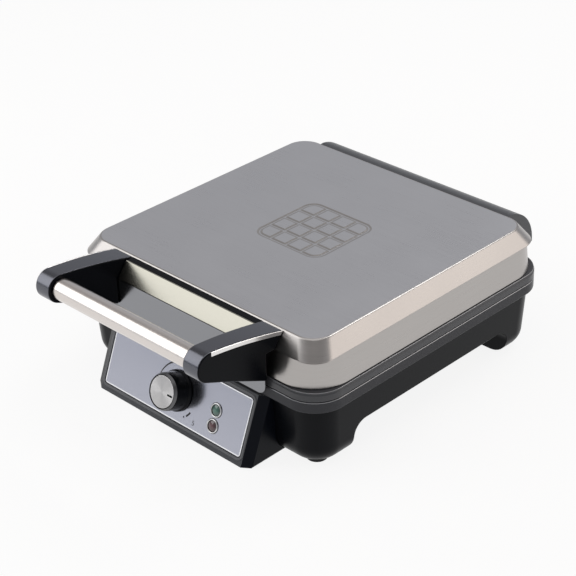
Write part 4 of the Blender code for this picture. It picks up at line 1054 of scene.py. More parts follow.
class Workshop:
    """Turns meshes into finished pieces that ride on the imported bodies."""

    def __init__(self, frame: dict[str, Any]) -> None:
        """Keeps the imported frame."""
        self.frame = frame
        self.made = 0

    def cut(self, mesh: bpy.types.Mesh, tools: Sequence[bpy.types.Mesh]) -> bpy.types.Mesh:
        """Takes tool meshes away from a mesh.

        Args:
            mesh: The mesh that is cut.
            tools: The meshes that are taken away.

        Returns:
            The cut mesh.
        """
        body = placed("blank", mesh)
        helpers = [placed("tool", tool) for tool in tools]
        for helper in helpers:
            modifier = body.modifiers.new("cut", "BOOLEAN")
            modifier.operation = "DIFFERENCE"
            modifier.solver = "EXACT"
            modifier.object = helper
        return self.applied(body, helpers)

    def rounded(self, mesh: bpy.types.Mesh, width: float, segments: int, angle: float) -> bpy.types.Mesh:
        """Rounds a mesh's edges.

        Args:
            mesh: The mesh.
            width: The width of each rounded edge.
            segments: Its steps.
            angle: The angle in degrees from which an edge counts as one.

        Returns:
            The rounded mesh.
        """
        body = placed("blank", mesh)
        self.bevel(body, width, segments, angle)
        return self.applied(body)

    @staticmethod
    def bevel(obj: bpy.types.Object, width: float, segments: int, angle: float) -> None:
        """Gives an object a modifier that rounds its edges.

        Args:
            obj: The object.
            width: The width of each rounded edge.
            segments: Its steps.
            angle: The angle in degrees from which an edge counts as one.
        """
        bevel = obj.modifiers.new("edges", "BEVEL")
        bevel.width = width
        bevel.segments = segments
        bevel.limit_method = "ANGLE"
        bevel.angle_limit = math.radians(angle)
        bevel.use_clamp_overlap = True

    @staticmethod
    def applied(obj: bpy.types.Object, helpers: Sequence[bpy.types.Object] = ()) -> bpy.types.Mesh:
        """Works an object's modifiers into a new mesh and removes the object.

        Args:
            obj: The object.
            helpers: Other objects that are removed with it.

        Returns:
            The mesh.
        """
        bpy.context.view_layer.update()
        graph = bpy.context.evaluated_depsgraph_get()
        done = obj.evaluated_get(graph)
        mesh = bpy.data.meshes.new_from_object(done, preserve_all_data_layers=True, depsgraph=graph)
        for used in (obj, *helpers):
            bpy.data.objects.remove(used)
        return mesh

    def add(
        self,
        name: str,
        mesh: bpy.types.Mesh,
        finish: Finish,
        body: Body,
        matrix: Matrix | None = None,
        edge: float = 0.0,
        segments: int = 3,
        sharp: float = 40.0,
        node: str = "",
    ) -> None:
        """Makes a piece.

        Args:
            name: The piece's name.
            mesh: Its mesh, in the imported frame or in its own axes.
            finish: Its finish.
            body: The body that it rides on.
            matrix: Its own axes, when the mesh is in them.
            edge: The width by which its edges are rounded.
            segments: Steps in a rounded edge.
            sharp: The angle in degrees from which an edge counts as one.
            node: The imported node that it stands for.
        """
        obj = placed(name, mesh)
        mesh.name = name
        mesh.materials.clear()
        mesh.materials.append(finish.material())
        mesh.shade_smooth()
        mesh.set_sharp_from_angle(angle=math.radians(sharp))
        if edge:
            self.bevel(obj, edge, segments, sharp)
        weight = obj.modifiers.new("flats", "WEIGHTED_NORMAL")
        weight.keep_sharp = True
        weight.weight = FLATS_WEIGHT
        if matrix is not None:
            obj.matrix_world = matrix
        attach(obj, body.value)
        if node:
            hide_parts(node)
        self.made += 1
        LOG.info("%s: %s on %s", name, finish.name, body.value)

    def stand_in(self, node: str, mesh: bpy.types.Mesh, finish: Finish, body: Body, **how: Any) -> None:
        """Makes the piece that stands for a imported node, with anything more that add is told."""
        self.add(f"{node}_dressed", mesh, finish, body, node=node, **how)

    def dress(self, finish: Finish, *nodes: str) -> None:
        """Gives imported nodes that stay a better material.

        Args:
            finish: The finish.
            *nodes: The nodes' names.
        """
        for name in nodes:
            node = self.frame["nodes"][name]
            node.data.materials.clear()
            node.data.materials.append(finish.material())
            self.made += 1
            LOG.info("%s: packed node in %s", name, finish.name)


@dataclass(frozen=True)
class LidCover:
    """Pressed steel cover: flat top with a pressed waffle sign, bevelled shoulder, ledge and flared band."""

    corner: float = 0.017
    shoulder_out: float = 0.00075
    bevel_out: float = 0.0095
    bevel_drop: float = 0.0137
    bevel_corner: float = 0.019
    ledge_drop: float = 0.0006
    ledge_out: float = 0.0001
    band_corner: float = 0.029
    band_out: float = 0.0125
    band_drop: float = 0.0372
    foot_corner: float = 0.034
    sheet: float = 0.0012
    sign_half: float = 0.034
    sign_corner: float = 0.009
    sign_cells: int = 4
    sign_place: Row = (0.004, 0.0025)
    groove_half: float = 0.0027
    groove_depth: float = 0.00038
    patch_half: float = 0.0375
    patch_steps: int = 132
    top_in: float = 0.004
    softness: Row = (0, 0.0013, 0.0005, 0.0003, 0.0005, 0.0004, 0, 0, 0)
    sharp: float = 60.0

    def section(self) -> list[Row]:
        """The skin's section, from the top face down and back up inside.

        Returns:
            The (out, drop, corner) rows.
        """
        rows = (
            (-self.top_in, 0.0, self.corner - self.top_in),
            (self.shoulder_out, 0.0, self.corner + self.shoulder_out),
            (self.bevel_out, self.bevel_drop, self.bevel_corner),
            (self.bevel_out + self.ledge_out, self.bevel_drop + self.ledge_drop, self.band_corner),
            (self.band_out, self.band_drop, self.foot_corner),
            (self.band_out - self.sheet, self.band_drop, self.foot_corner - self.sheet),
            (self.bevel_out - self.sheet, self.bevel_drop + self.ledge_drop, self.band_corner - self.sheet),
            (self.bevel_out - self.sheet, self.bevel_drop + self.sheet, self.bevel_corner - self.sheet),
            (-self.sheet, self.sheet, self.corner - self.sheet),
        )
        return Shape.softened(rows, self.softness)

    def sign_depth(self, x: float, y: float) -> float:
        """How far the sign's grooves press the top face down at a place.

        Args:
            x: The place across the lid.
            y: The place along the lid.

        Returns:
            The depth, in metres.
        """
        inner = self.sign_half - self.sign_corner
        beyond = Vector((max(abs(x) - inner, 0.0), max(abs(y) - inner, 0.0)))
        inside = max(abs(x), abs(y)) - inner
        edge = beyond.length - self.sign_corner if beyond.length > 0 else inside - self.sign_corner
        nearest = abs(edge)
        if edge < 0:
            pitch = 2 * self.sign_half / self.sign_cells
            for value in (x, y):
                away = abs((value + self.sign_half) % pitch)
                nearest = min(nearest, away, pitch - away)
        if nearest >= self.groove_half:
            return 0.0
        return self.groove_depth * (1 + math.cos(math.pi * nearest / self.groove_half)) / 2

    def top_face(self, bm: bmesh.types.BMesh, rim: Sequence[bmesh.types.BMVert]) -> None:
        """Fills the top between its rim and a fine patch that holds the sign.

        Args:
            bm: The cover's bmesh.
            rim: The points round the top face.
        """
        steps = self.patch_steps
        line = [self.patch_half * (2 * step / steps - 1) for step in range(steps + 1)]
        centre = Vector((self.sign_place[0], self.sign_place[1] + LAYOUT.middle_y, LAYOUT.lid_top))
        grid = [[bm.verts.new(centre + Vector((x, y, -self.sign_depth(x, y)))) for x in line] for y in line]
        for low, high in zip(grid, grid[1:]):
            for i in range(steps):
                bm.faces.new((low[i], low[i + 1], high[i + 1], high[i]))
        border = grid[0][:-1] + [row[-1] for row in grid[:-1]]
        border += grid[-1][:0:-1] + [row[0] for row in grid[:0:-1]]
        Shape.fill(bm, [border, rim])

    def build(self, shop: Workshop) -> None:
        """Makes the cover.

        Args:
            shop: Where the piece is finished.
        """
        rings = []
        for out, drop, corner in self.section():
            half_x, half_y = LAYOUT.half_x + out, LAYOUT.half_y + out
            rings.append(LAYOUT.ring(half_x, half_y, corner, LAYOUT.lid_top - drop))
        bm = bmesh.new()
        rows = Shape.skin(bm, rings)
        bm.faces.new(rows[-1])
        self.top_face(bm, rows[0])
        shop.stand_in("lid_cover", Shape.finished(bm), Look.lid_steel, Body.LID, sharp=self.sharp)


@dataclass(frozen=True)
class LidFrame:
    """Dark frame round the lid's foot, which carries the upper grid plate on an inner shelf."""

    softness: Row = (0, 0, 0, 0.0009, 0.0004, 0.0003, 0.0006, 0, 0, 0)
    step_drop: float = 0.0022
    step_in: float = 0.0006
    lip: float = 0.0006
    flange: float = 0.0048
    shelf_z: float = 0.0688
    cavity_x: float = 0.1318
    cavity_y: float = 0.1303
    wall: float = 0.003

    def build(self, shop: Workshop) -> None:
        """Makes the frame.

        Args:
            shop: Where the piece is finished.
        """
        at = LAYOUT
        low = at.frame_low
        floor = low + 2 * self.lip
        corner = at.wall_corner - self.wall
        hole, shelf = at.plate_half + self.lip, at.plate_half + self.flange
        hole_corner, shelf_corner = at.plate_corner + self.lip, at.plate_corner + self.flange
        top_x, top_y = at.rim_x - self.step_in, at.rim_y - self.step_in
        step = at.frame_top - self.step_drop
        rows = (
            (hole, floor, hole, hole_corner),
            (self.cavity_x - self.wall, floor, self.cavity_y - self.wall, corner),
            (self.cavity_x - self.wall / 2, low, self.cavity_y - self.wall / 2, corner),
            (at.rim_x, low, at.rim_y, at.rim_corner),
            (at.rim_x, step, at.rim_y, at.rim_corner),
            (top_x, step + self.step_in, top_y, at.rim_corner - self.step_in),
            (top_x, at.frame_top, top_y, at.rim_corner - self.step_in),
            (shelf, at.frame_top, shelf, shelf_corner),
            (shelf, self.shelf_z, shelf, shelf_corner),
            (hole, self.shelf_z, hole, hole_corner),
        )
        rings = at.stack(Shape.softened(rows, self.softness))
        shop.stand_in("lid_frame", Shape.loft(rings, closed=True), Look.rim_plastic, Body.LID)


@dataclass(frozen=True)
class BaseShell:
    """Black moulded base: rim, drafted walls, four rounded legs with arches between them."""

    softness: Row = (0, 0.0006, 0.0010, 0.0010, 0)
    rim_inset: float = 0.004
    draft: float = 0.0023
    wall: float = 0.003
    leg_round: float = 0.0168
    lift: float = 0.0008
    arch_height: float = 0.0275
    arch_round: float = 0.0125
    arch_front: float = 0.0902
    arch_rear: float = 0.0952
    arch_side: float = 0.088
    floor_z: float = 0.0308
    access_x: float = 0.075
    access_y: float = 0.045
    gland_x: float = 0.038
    gland_z: float = 0.044
    gland_radius: float = 0.0061
    leg_steps: int = 9
    edge: float = 0.0006
    edge_steps: int = 2
    sharp: float = 50.0

    def form(self, grow: float = 0.0) -> bpy.types.Mesh:
        """The base's outer form as a solid.

        Args:
            grow: A clearance by which it grows.

        Returns:
            The mesh.
        """
        at = LAYOUT
        low_x, low_y = at.wall_x - self.draft, at.wall_y - self.draft
        rings = []
        for step in range(self.leg_steps + 1):
            turn = math.pi / 2 * step / self.leg_steps
            out = grow - self.leg_round * (1 - math.sin(turn))
            z = self.lift - grow + self.leg_round * (1 - math.cos(turn))
            rings.append(at.ring(low_x + out, low_y + out, at.wall_corner + out, z))
        rim_low, rim_top = at.rim_low - grow, at.rim_top
        edge_x, edge_y, edge_corner = at.rim_x + grow, at.rim_y + grow, at.rim_corner + grow
        inset = self.rim_inset
        rows = (
            (low_x + grow, rim_low - inset, low_y + grow, at.wall_corner + grow),
            (at.wall_x + grow, rim_low, at.wall_y + grow, at.wall_corner + grow),
            (edge_x, rim_low, edge_y, edge_corner),
            (edge_x, rim_top, edge_y, edge_corner),
            (edge_x - inset, rim_top, edge_y - inset, edge_corner - inset),
        )
        rings += at.stack(Shape.softened(rows, self.softness)[1:])
        return Shape.loft(rings)

    def arch(self, low: float, high: float) -> list[Row]:
        """The outline of an arch that is open below the floor.

        Args:
            low: Where it starts along the wall.
            high: Where it ends.

        Returns:
            The (along, up) points.
        """
        points = [(high, -OVERRUN)]
        for centre, start in ((high - self.arch_round, 0), (low + self.arch_round, 90)):
            for angle in Shape.quarter(start):
                up = self.arch_height + self.arch_round * (math.sin(angle) - 1)
                points.append((centre + self.arch_round * math.cos(angle), up))
        points.append((low, -OVERRUN))
        return points

    def build(self, shop: Workshop) -> None:
        """Makes the shell.

        Args:
            shop: Where the piece is finished.
        """
        at = LAYOUT
        cavity_x, cavity_y = at.wall_x - self.wall, at.wall_y - self.wall
        corner = at.wall_corner - self.wall
        cavity = Shape.loft([
            at.ring(cavity_x - self.draft, cavity_y - self.draft, corner, self.floor_z),
            at.ring(cavity_x, cavity_y, corner, at.rim_top + OVERRUN),
        ])
        outline = [(y + at.middle_y, z) for y, z in self.arch(-self.arch_front, self.arch_rear)]
        side = Shape.prism(outline, -at.rim_x, at.rim_x)
        rear = Shape.prism(self.arch(-self.arch_side, self.arch_side), 0, at.rim_y)
        rear.transform(Matrix.Translation((0, at.middle_y, 0)) @ Matrix.Rotation(math.pi / 2, 4, "Z"))
        access = Shape.block(
            (-self.access_x, at.middle_y - self.access_y, self.arch_height - OVERRUN),
            (self.access_x, at.middle_y + self.access_y, self.floor_z + OVERRUN),
        )
        wall_out = at.middle_y + at.wall_y
        ends = [Vector((self.gland_x, y, self.gland_z))
                for y in (wall_out - self.wall - OVERRUN, wall_out + OVERRUN)]
        hole = Shape.rod(*ends, self.gland_radius)
        mesh = shop.cut(self.form(), [cavity, side, rear, access, hole])
        shop.stand_in("base_shell", mesh, Look.shell_plastic, Body.BASE,
                      edge=self.edge, segments=self.edge_steps, sharp=self.sharp)


@dataclass(frozen=True)
class Feet:
    """Rubber feet under the legs, with a worn edge."""

    radius: float = 0.0085
    height: float = 0.0028
    inset: float = 0.0191
    draft: float = 0.0023
    softness: Row = (0, 0.0003, 0.0009, 0)
    steps: int = 40

    def build(self, shop: Workshop) -> None:
        """Makes the four feet.

        Args:
            shop: Where the pieces are finished.
        """
        rows = ((0, self.height), (self.radius, self.height), (self.radius, 0), (0, 0))
        profile = Shape.softened(rows, self.softness)
        for y_name, y_sign in (("front", -1), ("rear", 1)):
            for x_name, x_sign in (("left", -1), ("right", 1)):
                x = x_sign * (LAYOUT.wall_x - self.draft - self.inset)
                y = y_sign * (LAYOUT.wall_y - self.draft - self.inset) + LAYOUT.middle_y
                mesh = Shape.turned(profile, self.steps)
                mesh.transform(Matrix.Translation((x, y, 0)))
                shop.stand_in(f"foot_{y_name}_{x_name}", mesh, Look.rubber, Body.BASE)


@dataclass(frozen=True)
class ControlHousing:
    """Housing whose sloping face has bevelled sides, cut lower corners and a lip round the steel plate."""

    half: float = 0.0815
    chamfer: float = 0.0078
    chamfer_depth: float = 0.0049
    corner_cut: float = 0.0010
    corner_rise: float = 0.0015
    into_base: float = 0.020
    panel_half: float = 0.0783
    panel_height: float = 0.0476
    panel_up: float = 0.007
    panel_corner: float = 0.0025
    panel_sheet: float = 0.0012
    panel_proud: float = 0.0004
    recess_gap: float = 0.0008
    lip_width: float = 0.0021
    lip_height: float = 0.0007
    lip_gap: float = 0.0009
    lip_sink: float = 0.0002
    lip_softness: Row = (0, 0.0003, 0.0005, 0)
    edge: float = 0.0009
    sharp: float = 18.0

    def outline(self, z: float, side: float) -> list[Vector]:
        """The housing's plan outline.

        Args:
            z: The height at which it is taken.
            side: How far out the sides stand.

        Returns:
            The points.
        """
        at = LAYOUT
        rear = at.front_y() + self.into_base
        front = at.front_y() - at.housing_reach + (z - at.housing_lift) * math.tan(at.panel_tilt)
        shoulder = front + self.chamfer_depth
        left = ((-side, rear), (-side, shoulder), (-self.half, front))
        right = ((self.half, front), (side, shoulder), (side, rear))
        return [Vector((x, y, z)) for x, y in left + right]

    def frame_ring(self, half_x: float, half_y: float, corner: float, z: float) -> list[Vector]:
        """A rounded rectangle about the plate's middle, in the panel's axes."""
        middle = self.panel_up + self.panel_height / 2
        return [Vector((x, y + middle, z)) for x, y in Shape.rectangle(half_x, half_y, corner)]

    def build(self, shop: Workshop, base: BaseShell) -> None:
        """Makes the housing and the lip round its plate.

        Args:
            shop: Where the pieces are finished.
            base: The base that the housing fits round.
        """
        at = LAYOUT
        full = self.half + self.chamfer
        rings = [
            self.outline(at.housing_lift, full - self.corner_cut),
            self.outline(at.housing_lift + self.corner_rise, full),
            self.outline(at.rim_low - GAP, full),
        ]
        half_y = self.panel_height / 2 + self.recess_gap
        half_x = self.panel_half + self.recess_gap
        corner = self.panel_corner + self.recess_gap
        floor = self.panel_proud - self.panel_sheet - GAP
        recess = Shape.loft([self.frame_ring(half_x, half_y, corner, z) for z in (floor, OVERRUN)])
        recess.transform(at.panel())
        mesh = shop.cut(Shape.loft(rings), [base.form(GAP), recess])
        shop.stand_in("control_housing", mesh, Look.housing_plastic, Body.BASE,
                      edge=self.edge, sharp=self.sharp)
        inner, outer = self.lip_gap, self.lip_gap + self.lip_width
        low, high = -self.lip_sink, self.lip_height
        rows = ((inner, low), (inner, high), (outer, high), (outer, low))
        section = Shape.softened(rows, self.lip_softness)
        half_x, half_y, corner = self.panel_half, self.panel_height / 2, self.panel_corner
        rings = [self.frame_ring(half_x + out, half_y + out, corner + out, z) for out, z in section]
        lip = Shape.loft(rings, closed=True)
        shop.add("housing_lip", lip, Look.lip_plastic, Body.BASE, matrix=at.panel())


@dataclass(frozen=True)
class PanelPlate:
    """Brushed steel plate with a polished edge, its dial marks and the lamp holes."""

    housing: ControlHousing = ControlHousing()
    dial_x: float = 0.0009
    dial_up: float = 0.0308
    lamp_x: float = 0.045
    ready_up: float = 0.0320
    power_up: float = 0.0190
    shaft_hole: float = 0.0045
    lamp_hole: float = 0.0062
    arcs: tuple[tuple[str, Row], ...] = (
        ("dial_arc", (205.0, 112.0, 0.0224, 0.0015, 0.3)),
        ("dial_dash_warm", (49.0, 37.0, 0.0202, 0.0011, 1.0)),
        ("dial_dash_hot", (-31.0, -46.0, 0.0218, 0.0015, 1.0)),
        ("dial_dot", (-51.2, -54.8, 0.0214, 0.0013, 1.0)),
    )
    arc_steps: int = 48
    numbers: tuple[tuple[str, Row], ...] = (("1", (214.0, 0.0265)), ("5", (-37.0, 0.0300)))
    number_size: float = 0.0058
    ink_thick: float = 0.00004
    edge: float = 0.0007

    def arc(self, first: float, last: float, middle: float, width: float, start: float) -> bpy.types.Mesh:
        """A printed arc or dash round the dial.

        Args:
            first: Its first angle in degrees, anticlockwise from the right.
            last: Its last angle.
            middle: Its radius.
            width: Its width at the last angle.
            start: The share of that width at the first angle.

        Returns:
            The mesh.
        """
        outer, inner = [], []
        for step in range(self.arc_steps + 1):
            share = step / self.arc_steps
            angle = math.radians(first + (last - first) * share)
            half = width * (start + (1 - start) * share) / 2
            for side, radius in ((outer, middle + half), (inner, middle - half)):
                side.append((radius * math.cos(angle), radius * math.sin(angle)))
        return Shape.sheet([outer + inner[::-1]], self.ink_thick)

    def number(self, text: str, angle: float, radius: float) -> bpy.types.Mesh:
        """A printed number round the dial.

        Args:
            text: The number.
            angle: Its direction in degrees.
            radius: How far out it stands.

        Returns:
            The mesh.
        """
        curve = bpy.data.curves.new(f"number_{text}", "FONT")
        curve.body = text
        curve.size = self.number_size
        curve.align_x, curve.align_y = "CENTER", "CENTER"
        curve.extrude = self.ink_thick / 2
        mesh = Workshop.applied(placed(curve.name, curve))
        turn = math.radians(angle)
        place = (radius * math.cos(turn), radius * math.sin(turn), -self.ink_thick / 2)
        mesh.transform(Matrix.Translation(place))
        return mesh

    def build(self, shop: Workshop) -> None:
        """Makes the plate and its print.

        Args:
            shop: Where the pieces are finished.
        """
        house = self.housing
        middle = house.panel_up + house.panel_height / 2
        edge = Shape.rectangle(house.panel_half, house.panel_height / 2, house.panel_corner)
        outlines = [
            [(x, y + middle) for x, y in edge],
            Shape.circle(self.dial_x, self.dial_up, self.shaft_hole),
            Shape.circle(self.lamp_x, self.ready_up, self.lamp_hole),
            Shape.circle(self.lamp_x, self.power_up, self.lamp_hole),
        ]
        mesh = Shape.sheet(outlines, house.panel_sheet)
        place = LAYOUT.panel() @ Matrix.Translation((0, 0, house.panel_proud))
        shop.stand_in("panel_plate", mesh, Look.panel_steel, Body.BASE, matrix=place, edge=self.edge)
        marks = [(name, self.arc(*row)) for name, row in self.arcs]
        marks += [(f"dial_number_{text}", self.number(text, *row)) for text, row in self.numbers]
        place = place @ Matrix.Translation((self.dial_x, self.dial_up, self.ink_thick))
        for name, mark in marks:
            shop.add(name, mark, Look.ink, Body.BASE, matrix=place)


@dataclass(frozen=True)
class Lamps:
    """Two signal lamps: a bright ring and a domed lens each."""

    plate: PanelPlate = PanelPlate()
    lens_radius: float = 0.0045
    dome: float = 0.0012
    ring_wall: float = 0.0010
    ring_proud: float = 0.0010
    ring_length: float = 0.006
    ring_softness: Row = (0, 0.00045, 0.0006, 0)
    ring_steps: int = 5
    lens_depth: float = 0.003
    dome_steps: int = 8

    def build(self, shop: Workshop) -> None:
        """Makes the rings and lenses.

        Args:
            shop: Where the pieces are finished.
        """
        inner = self.lens_radius + GAP / 2
        outer = self.lens_radius + GAP + self.ring_wall
        low = -self.ring_length
        rows = ((inner, low), (inner, self.ring_proud), (outer, self.ring_proud), (outer, low))
        ring = Shape.softened(rows, self.ring_softness, self.ring_steps)
        lens = [(0, -self.lens_depth), (self.lens_radius, -self.lens_depth)]
        for step in range(self.dome_steps + 1):
            turn = math.pi / 2 * (1 - step / self.dome_steps)
            lens.append((self.lens_radius * math.sin(turn), self.dome * math.cos(turn)))
        plate = self.plate
        rows = (("ready", plate.ready_up, Look.green_lens), ("power", plate.power_up, Look.red_lens))
        for name, up, tint in rows:
            place = LAYOUT.panel() @ Matrix.Translation((plate.lamp_x, up, plate.housing.panel_proud))
            for part, profile, finish in (("bezel", ring, Look.bezel_chrome), ("lens", lens, tint)):
                shop.stand_in(f"{name}_{part}", Shape.turned(profile), finish, Body.BASE, matrix=place)


@dataclass(frozen=True)
class Dial:
    """Black dial with a bevelled edge, a turned steel cap and a pointer on the cap."""

    plate: PanelPlate = PanelPlate()
    radius: float = 0.0156
    height: float = 0.0165
    draft: float = 0.0005
    edge_out: float = 0.0014
    edge_down: float = 0.0024
    lift: float = 0.0008
    skirt: float = 0.0011
    skirt_height: float = 0.0022
    cap_radius: float = 0.0130
    cap_sheet: float = 0.0012
    cap_sink: float = 0.0004
    pointer_out: float = 0.0062
    pointer_length: float = 0.0055
    pointer_width: float = 0.0013
    pointer_proud: float = 0.0003
    pointer_round: float = 0.9
    pointer_steps: int = 5
    softness: Row = (0, 0, 0.0002, 0.0003, 0.0004, 0.0005, 0.0004, 0.0002, 0)
    cap_softness: Row = (0, 0, 0.0004, 0, 0)
    cap_middle: float = 0.3
    steps: int = 96

    def build(self, shop: Workshop) -> None:
        """Makes the knob, cap and pointer.

        Args:
            shop: Where the pieces are finished.
        """
        place = LAYOUT.panel() @ Matrix.Translation((self.plate.dial_x, self.plate.dial_up, 0))
        foot = self.plate.housing.panel_proud + self.lift
        top = foot + self.height
        top_radius = self.radius - self.draft
        pocket = self.cap_radius + GAP
        cap_top = top - self.cap_sink
        cap_low = cap_top - self.cap_sheet
        rows = (
            (0, cap_low - GAP),
            (pocket, cap_low - GAP),
            (pocket, top),
            (top_radius - self.edge_out, top),
            (top_radius, top - self.edge_down),
            (self.radius, foot + self.skirt_height),
            (self.radius + self.skirt, foot + self.skirt_height / 2),
            (self.radius + self.skirt, foot),
            (0, foot),
        )
        knob = Shape.turned(Shape.softened(rows, self.softness), self.steps)
        radius, middle = self.cap_radius, self.cap_radius * self.cap_middle
        rows = ((0, cap_low), (radius, cap_low), (radius, cap_top), (middle, cap_top), (0, cap_top))
        cap = Shape.turned(Shape.softened(rows, self.cap_softness), self.steps)
        half, length = self.pointer_width / 2, self.pointer_length
        outline = Shape.rectangle(length / 2, half, half * self.pointer_round, self.pointer_steps)
        shifted = [(x + self.pointer_out + length / 2, y) for x, y in outline]
        pointer = Shape.sheet([shifted], self.pointer_proud)
        pointer.transform(Matrix.Translation((0, 0, cap_top + self.pointer_proud)))
        for node, mesh, finish in (
            ("dial_knob", knob, Look.knob_plastic),
            ("dial_cap", cap, Look.cap_steel),
            ("dial_pointer", pointer, Look.knob_plastic),
        ):
            shop.stand_in(node, mesh, finish, Body.DIAL, matrix=place)


@dataclass(frozen=True)
class GridPlate:
    """Cast non-stick plate: four pockets, each with rows of blunt pyramids, softened all over."""

    half: float = 0.1115
    corner: float = 0.010
    thick: float = 0.017
    flange_out: float = 0.0045
    flange: float = 0.0025
    flange_drop: float = 0.0013
    fields: int = 2
    pyramids: int = 4
    field_wall: float = 0.006
    depth: float = 0.0115
    draft: float = 0.0022
    field_corner: float = 0.0035
    field_fillet: float = 0.0011
    pyramid_base: float = 0.0195
    pyramid_top: float = 0.0115
    pyramid_corner: float = 0.0018
    pyramid_foot: float = 0.0009
    round_steps: int = 4

    def square(self, x: float, y: float, rows: Sequence[Row]) -> list[list[Row]]:
        """Rings of rounded squares round a place.

        Args:
            x: The place across the plate.
            y: The place along the plate.
            rows: The (half side, height, corner) of each ring.

        Returns:
            The rings' points.
        """
        rings = []
        for half, z, corner in rows:
            outline = Shape.rectangle(half, half, corner, self.round_steps)
            rings.append([(x + px, y + py, z) for px, py in outline])
        return rings

    def pyramid_rows(self) -> list[Row]:
        """A pyramid's section, from the middle of its top down to the floor.

        Returns:
            The (half side, height, corner) rows.
        """
        top, base = self.pyramid_top / 2, self.pyramid_base / 2
        corner, foot = self.pyramid_corner, self.pyramid_foot
        rows = (
            (top - corner, 0, corner / 2),
            (top, 0, corner),
            (base, -self.depth, corner),
            (base + foot, -self.depth, corner + foot),
        )
        return Shape.softened(rows, (0, self.field_fillet, self.field_fillet, 0))

    def field_rows(self, half: float) -> list[Row]:
        """A pocket wall's section, from the floor up to the top web.

        Args:
            half: Half the pocket's width.

        Returns:
            The (half side, height, corner) rows.
        """
        corner, fillet = self.field_corner, self.field_fillet
        rows = (
            (half - self.draft - fillet, -self.depth, corner - fillet),
            (half - self.draft, -self.depth, corner),
            (half, 0, corner),
            (half + fillet, 0, corner + fillet),
        )
        return Shape.softened(rows, (0, fillet, fillet, 0))

    def mesh(self) -> bpy.types.Mesh:
        """The plate with its cooking face at z = 0.

        Returns:
            The mesh.
        """
        bm = bmesh.new()
        field = (2 * self.half - self.field_wall * (self.fields + 1)) / self.fields
        pitch = (field - 2 * self.draft) / self.pyramids
        web = []
        for i in range(self.fields):
            for j in range(self.fields):
                x = (i - (self.fields - 1) / 2) * (field + self.field_wall)
                y = (j - (self.fields - 1) / 2) * (field + self.field_wall)
                wall = Shape.skin(bm, self.square(x, y, self.field_rows(field / 2)))
                web.append(wall[-1])
                floor = [wall[0]]
                for k in range(self.pyramids):
                    for m in range(self.pyramids):
                        px = x + (k - (self.pyramids - 1) / 2) * pitch
                        py = y + (m - (self.pyramids - 1) / 2) * pitch
                        sides = Shape.skin(bm, self.square(px, py, self.pyramid_rows()))
                        bm.faces.new(sides[0])
                        floor.append(sides[-1])
                Shape.fill(bm, floor)
        fillet = self.field_fillet
        edge, drop = self.half + self.flange_out, -self.flange_drop
        rows = (
            (self.half - fillet, 0, self.corner - fillet),
            (self.half, 0, self.corner),
            (self.half, drop, self.corner),
            (edge, drop, self.corner + self.flange_out),
            (edge, drop - self.flange, self.corner + self.flange_out),
            (self.half, drop - self.flange, self.corner),
            (self.half, -self.thick, self.corner),
        )
        rows = Shape.softened(rows, (0, fillet / 2, fillet / 2, fillet / 2, fillet / 2, 0, 0))
        sides = Shape.skin(bm, [
            [(x, y, z) for x, y in Shape.rectangle(half, half, corner)] for half, z, corner in rows
        ])
        bm.faces.new(sides[-1])
        Shape.fill(bm, [sides[0]] + web)
        return Shape.finished(bm)

    def build(self, shop: Workshop) -> None:
        """Makes the lower plate, face up, and the upper plate, face down.

        Args:
            shop: Where the pieces are finished.
        """
        turned = Matrix.Rotation(math.pi, 4, "X")
        for name, body, z, turn in (
            ("lower_grid_plate", Body.BASE, LAYOUT.lower_plate, Matrix.Identity(4)),
            ("upper_grid_plate", Body.LID, LAYOUT.upper_plate, turned),
        ):
            mesh = self.mesh()
            mesh.transform(Matrix.Translation((0, LAYOUT.middle_y, z)) @ turn)
            shop.stand_in(name, mesh, Look.nonstick, body)


@dataclass(frozen=True)
class PlateDeck:
    """Frame round the lower grid plate that falls slightly towards it."""

    outer_x: float = 0.13035
    outer_y: float = 0.12885
    outer_corner: float = 0.021
    lip: float = 0.0006
    below_rim: float = 0.0003
    fall: float = 0.002
    sheet: float = 0.002
    softness: Row = (0, 0, 0.0005, 0.0005, 0)

    def build(self, shop: Workshop) -> None:
        """Makes the deck.

        Args:
            shop: Where the piece is finished.
        """
        top = LAYOUT.rim_top - self.below_rim
        hole, corner = LAYOUT.plate_half + self.lip, LAYOUT.plate_corner + self.lip
        rows = (
            (hole, top - self.fall - self.sheet, hole, corner),
            (self.outer_x, top - self.sheet, self.outer_y, self.outer_corner),
            (self.outer_x, top, self.outer_y, self.outer_corner),
            (hole, top - self.fall, hole, corner),
            (hole, top - self.fall - self.sheet / 2, hole, corner),
        )
        rings = LAYOUT.stack(Shape.softened(rows, self.softness))
        shop.stand_in("plate_deck", Shape.loft(rings, closed=True), Look.rim_plastic, Body.BASE)


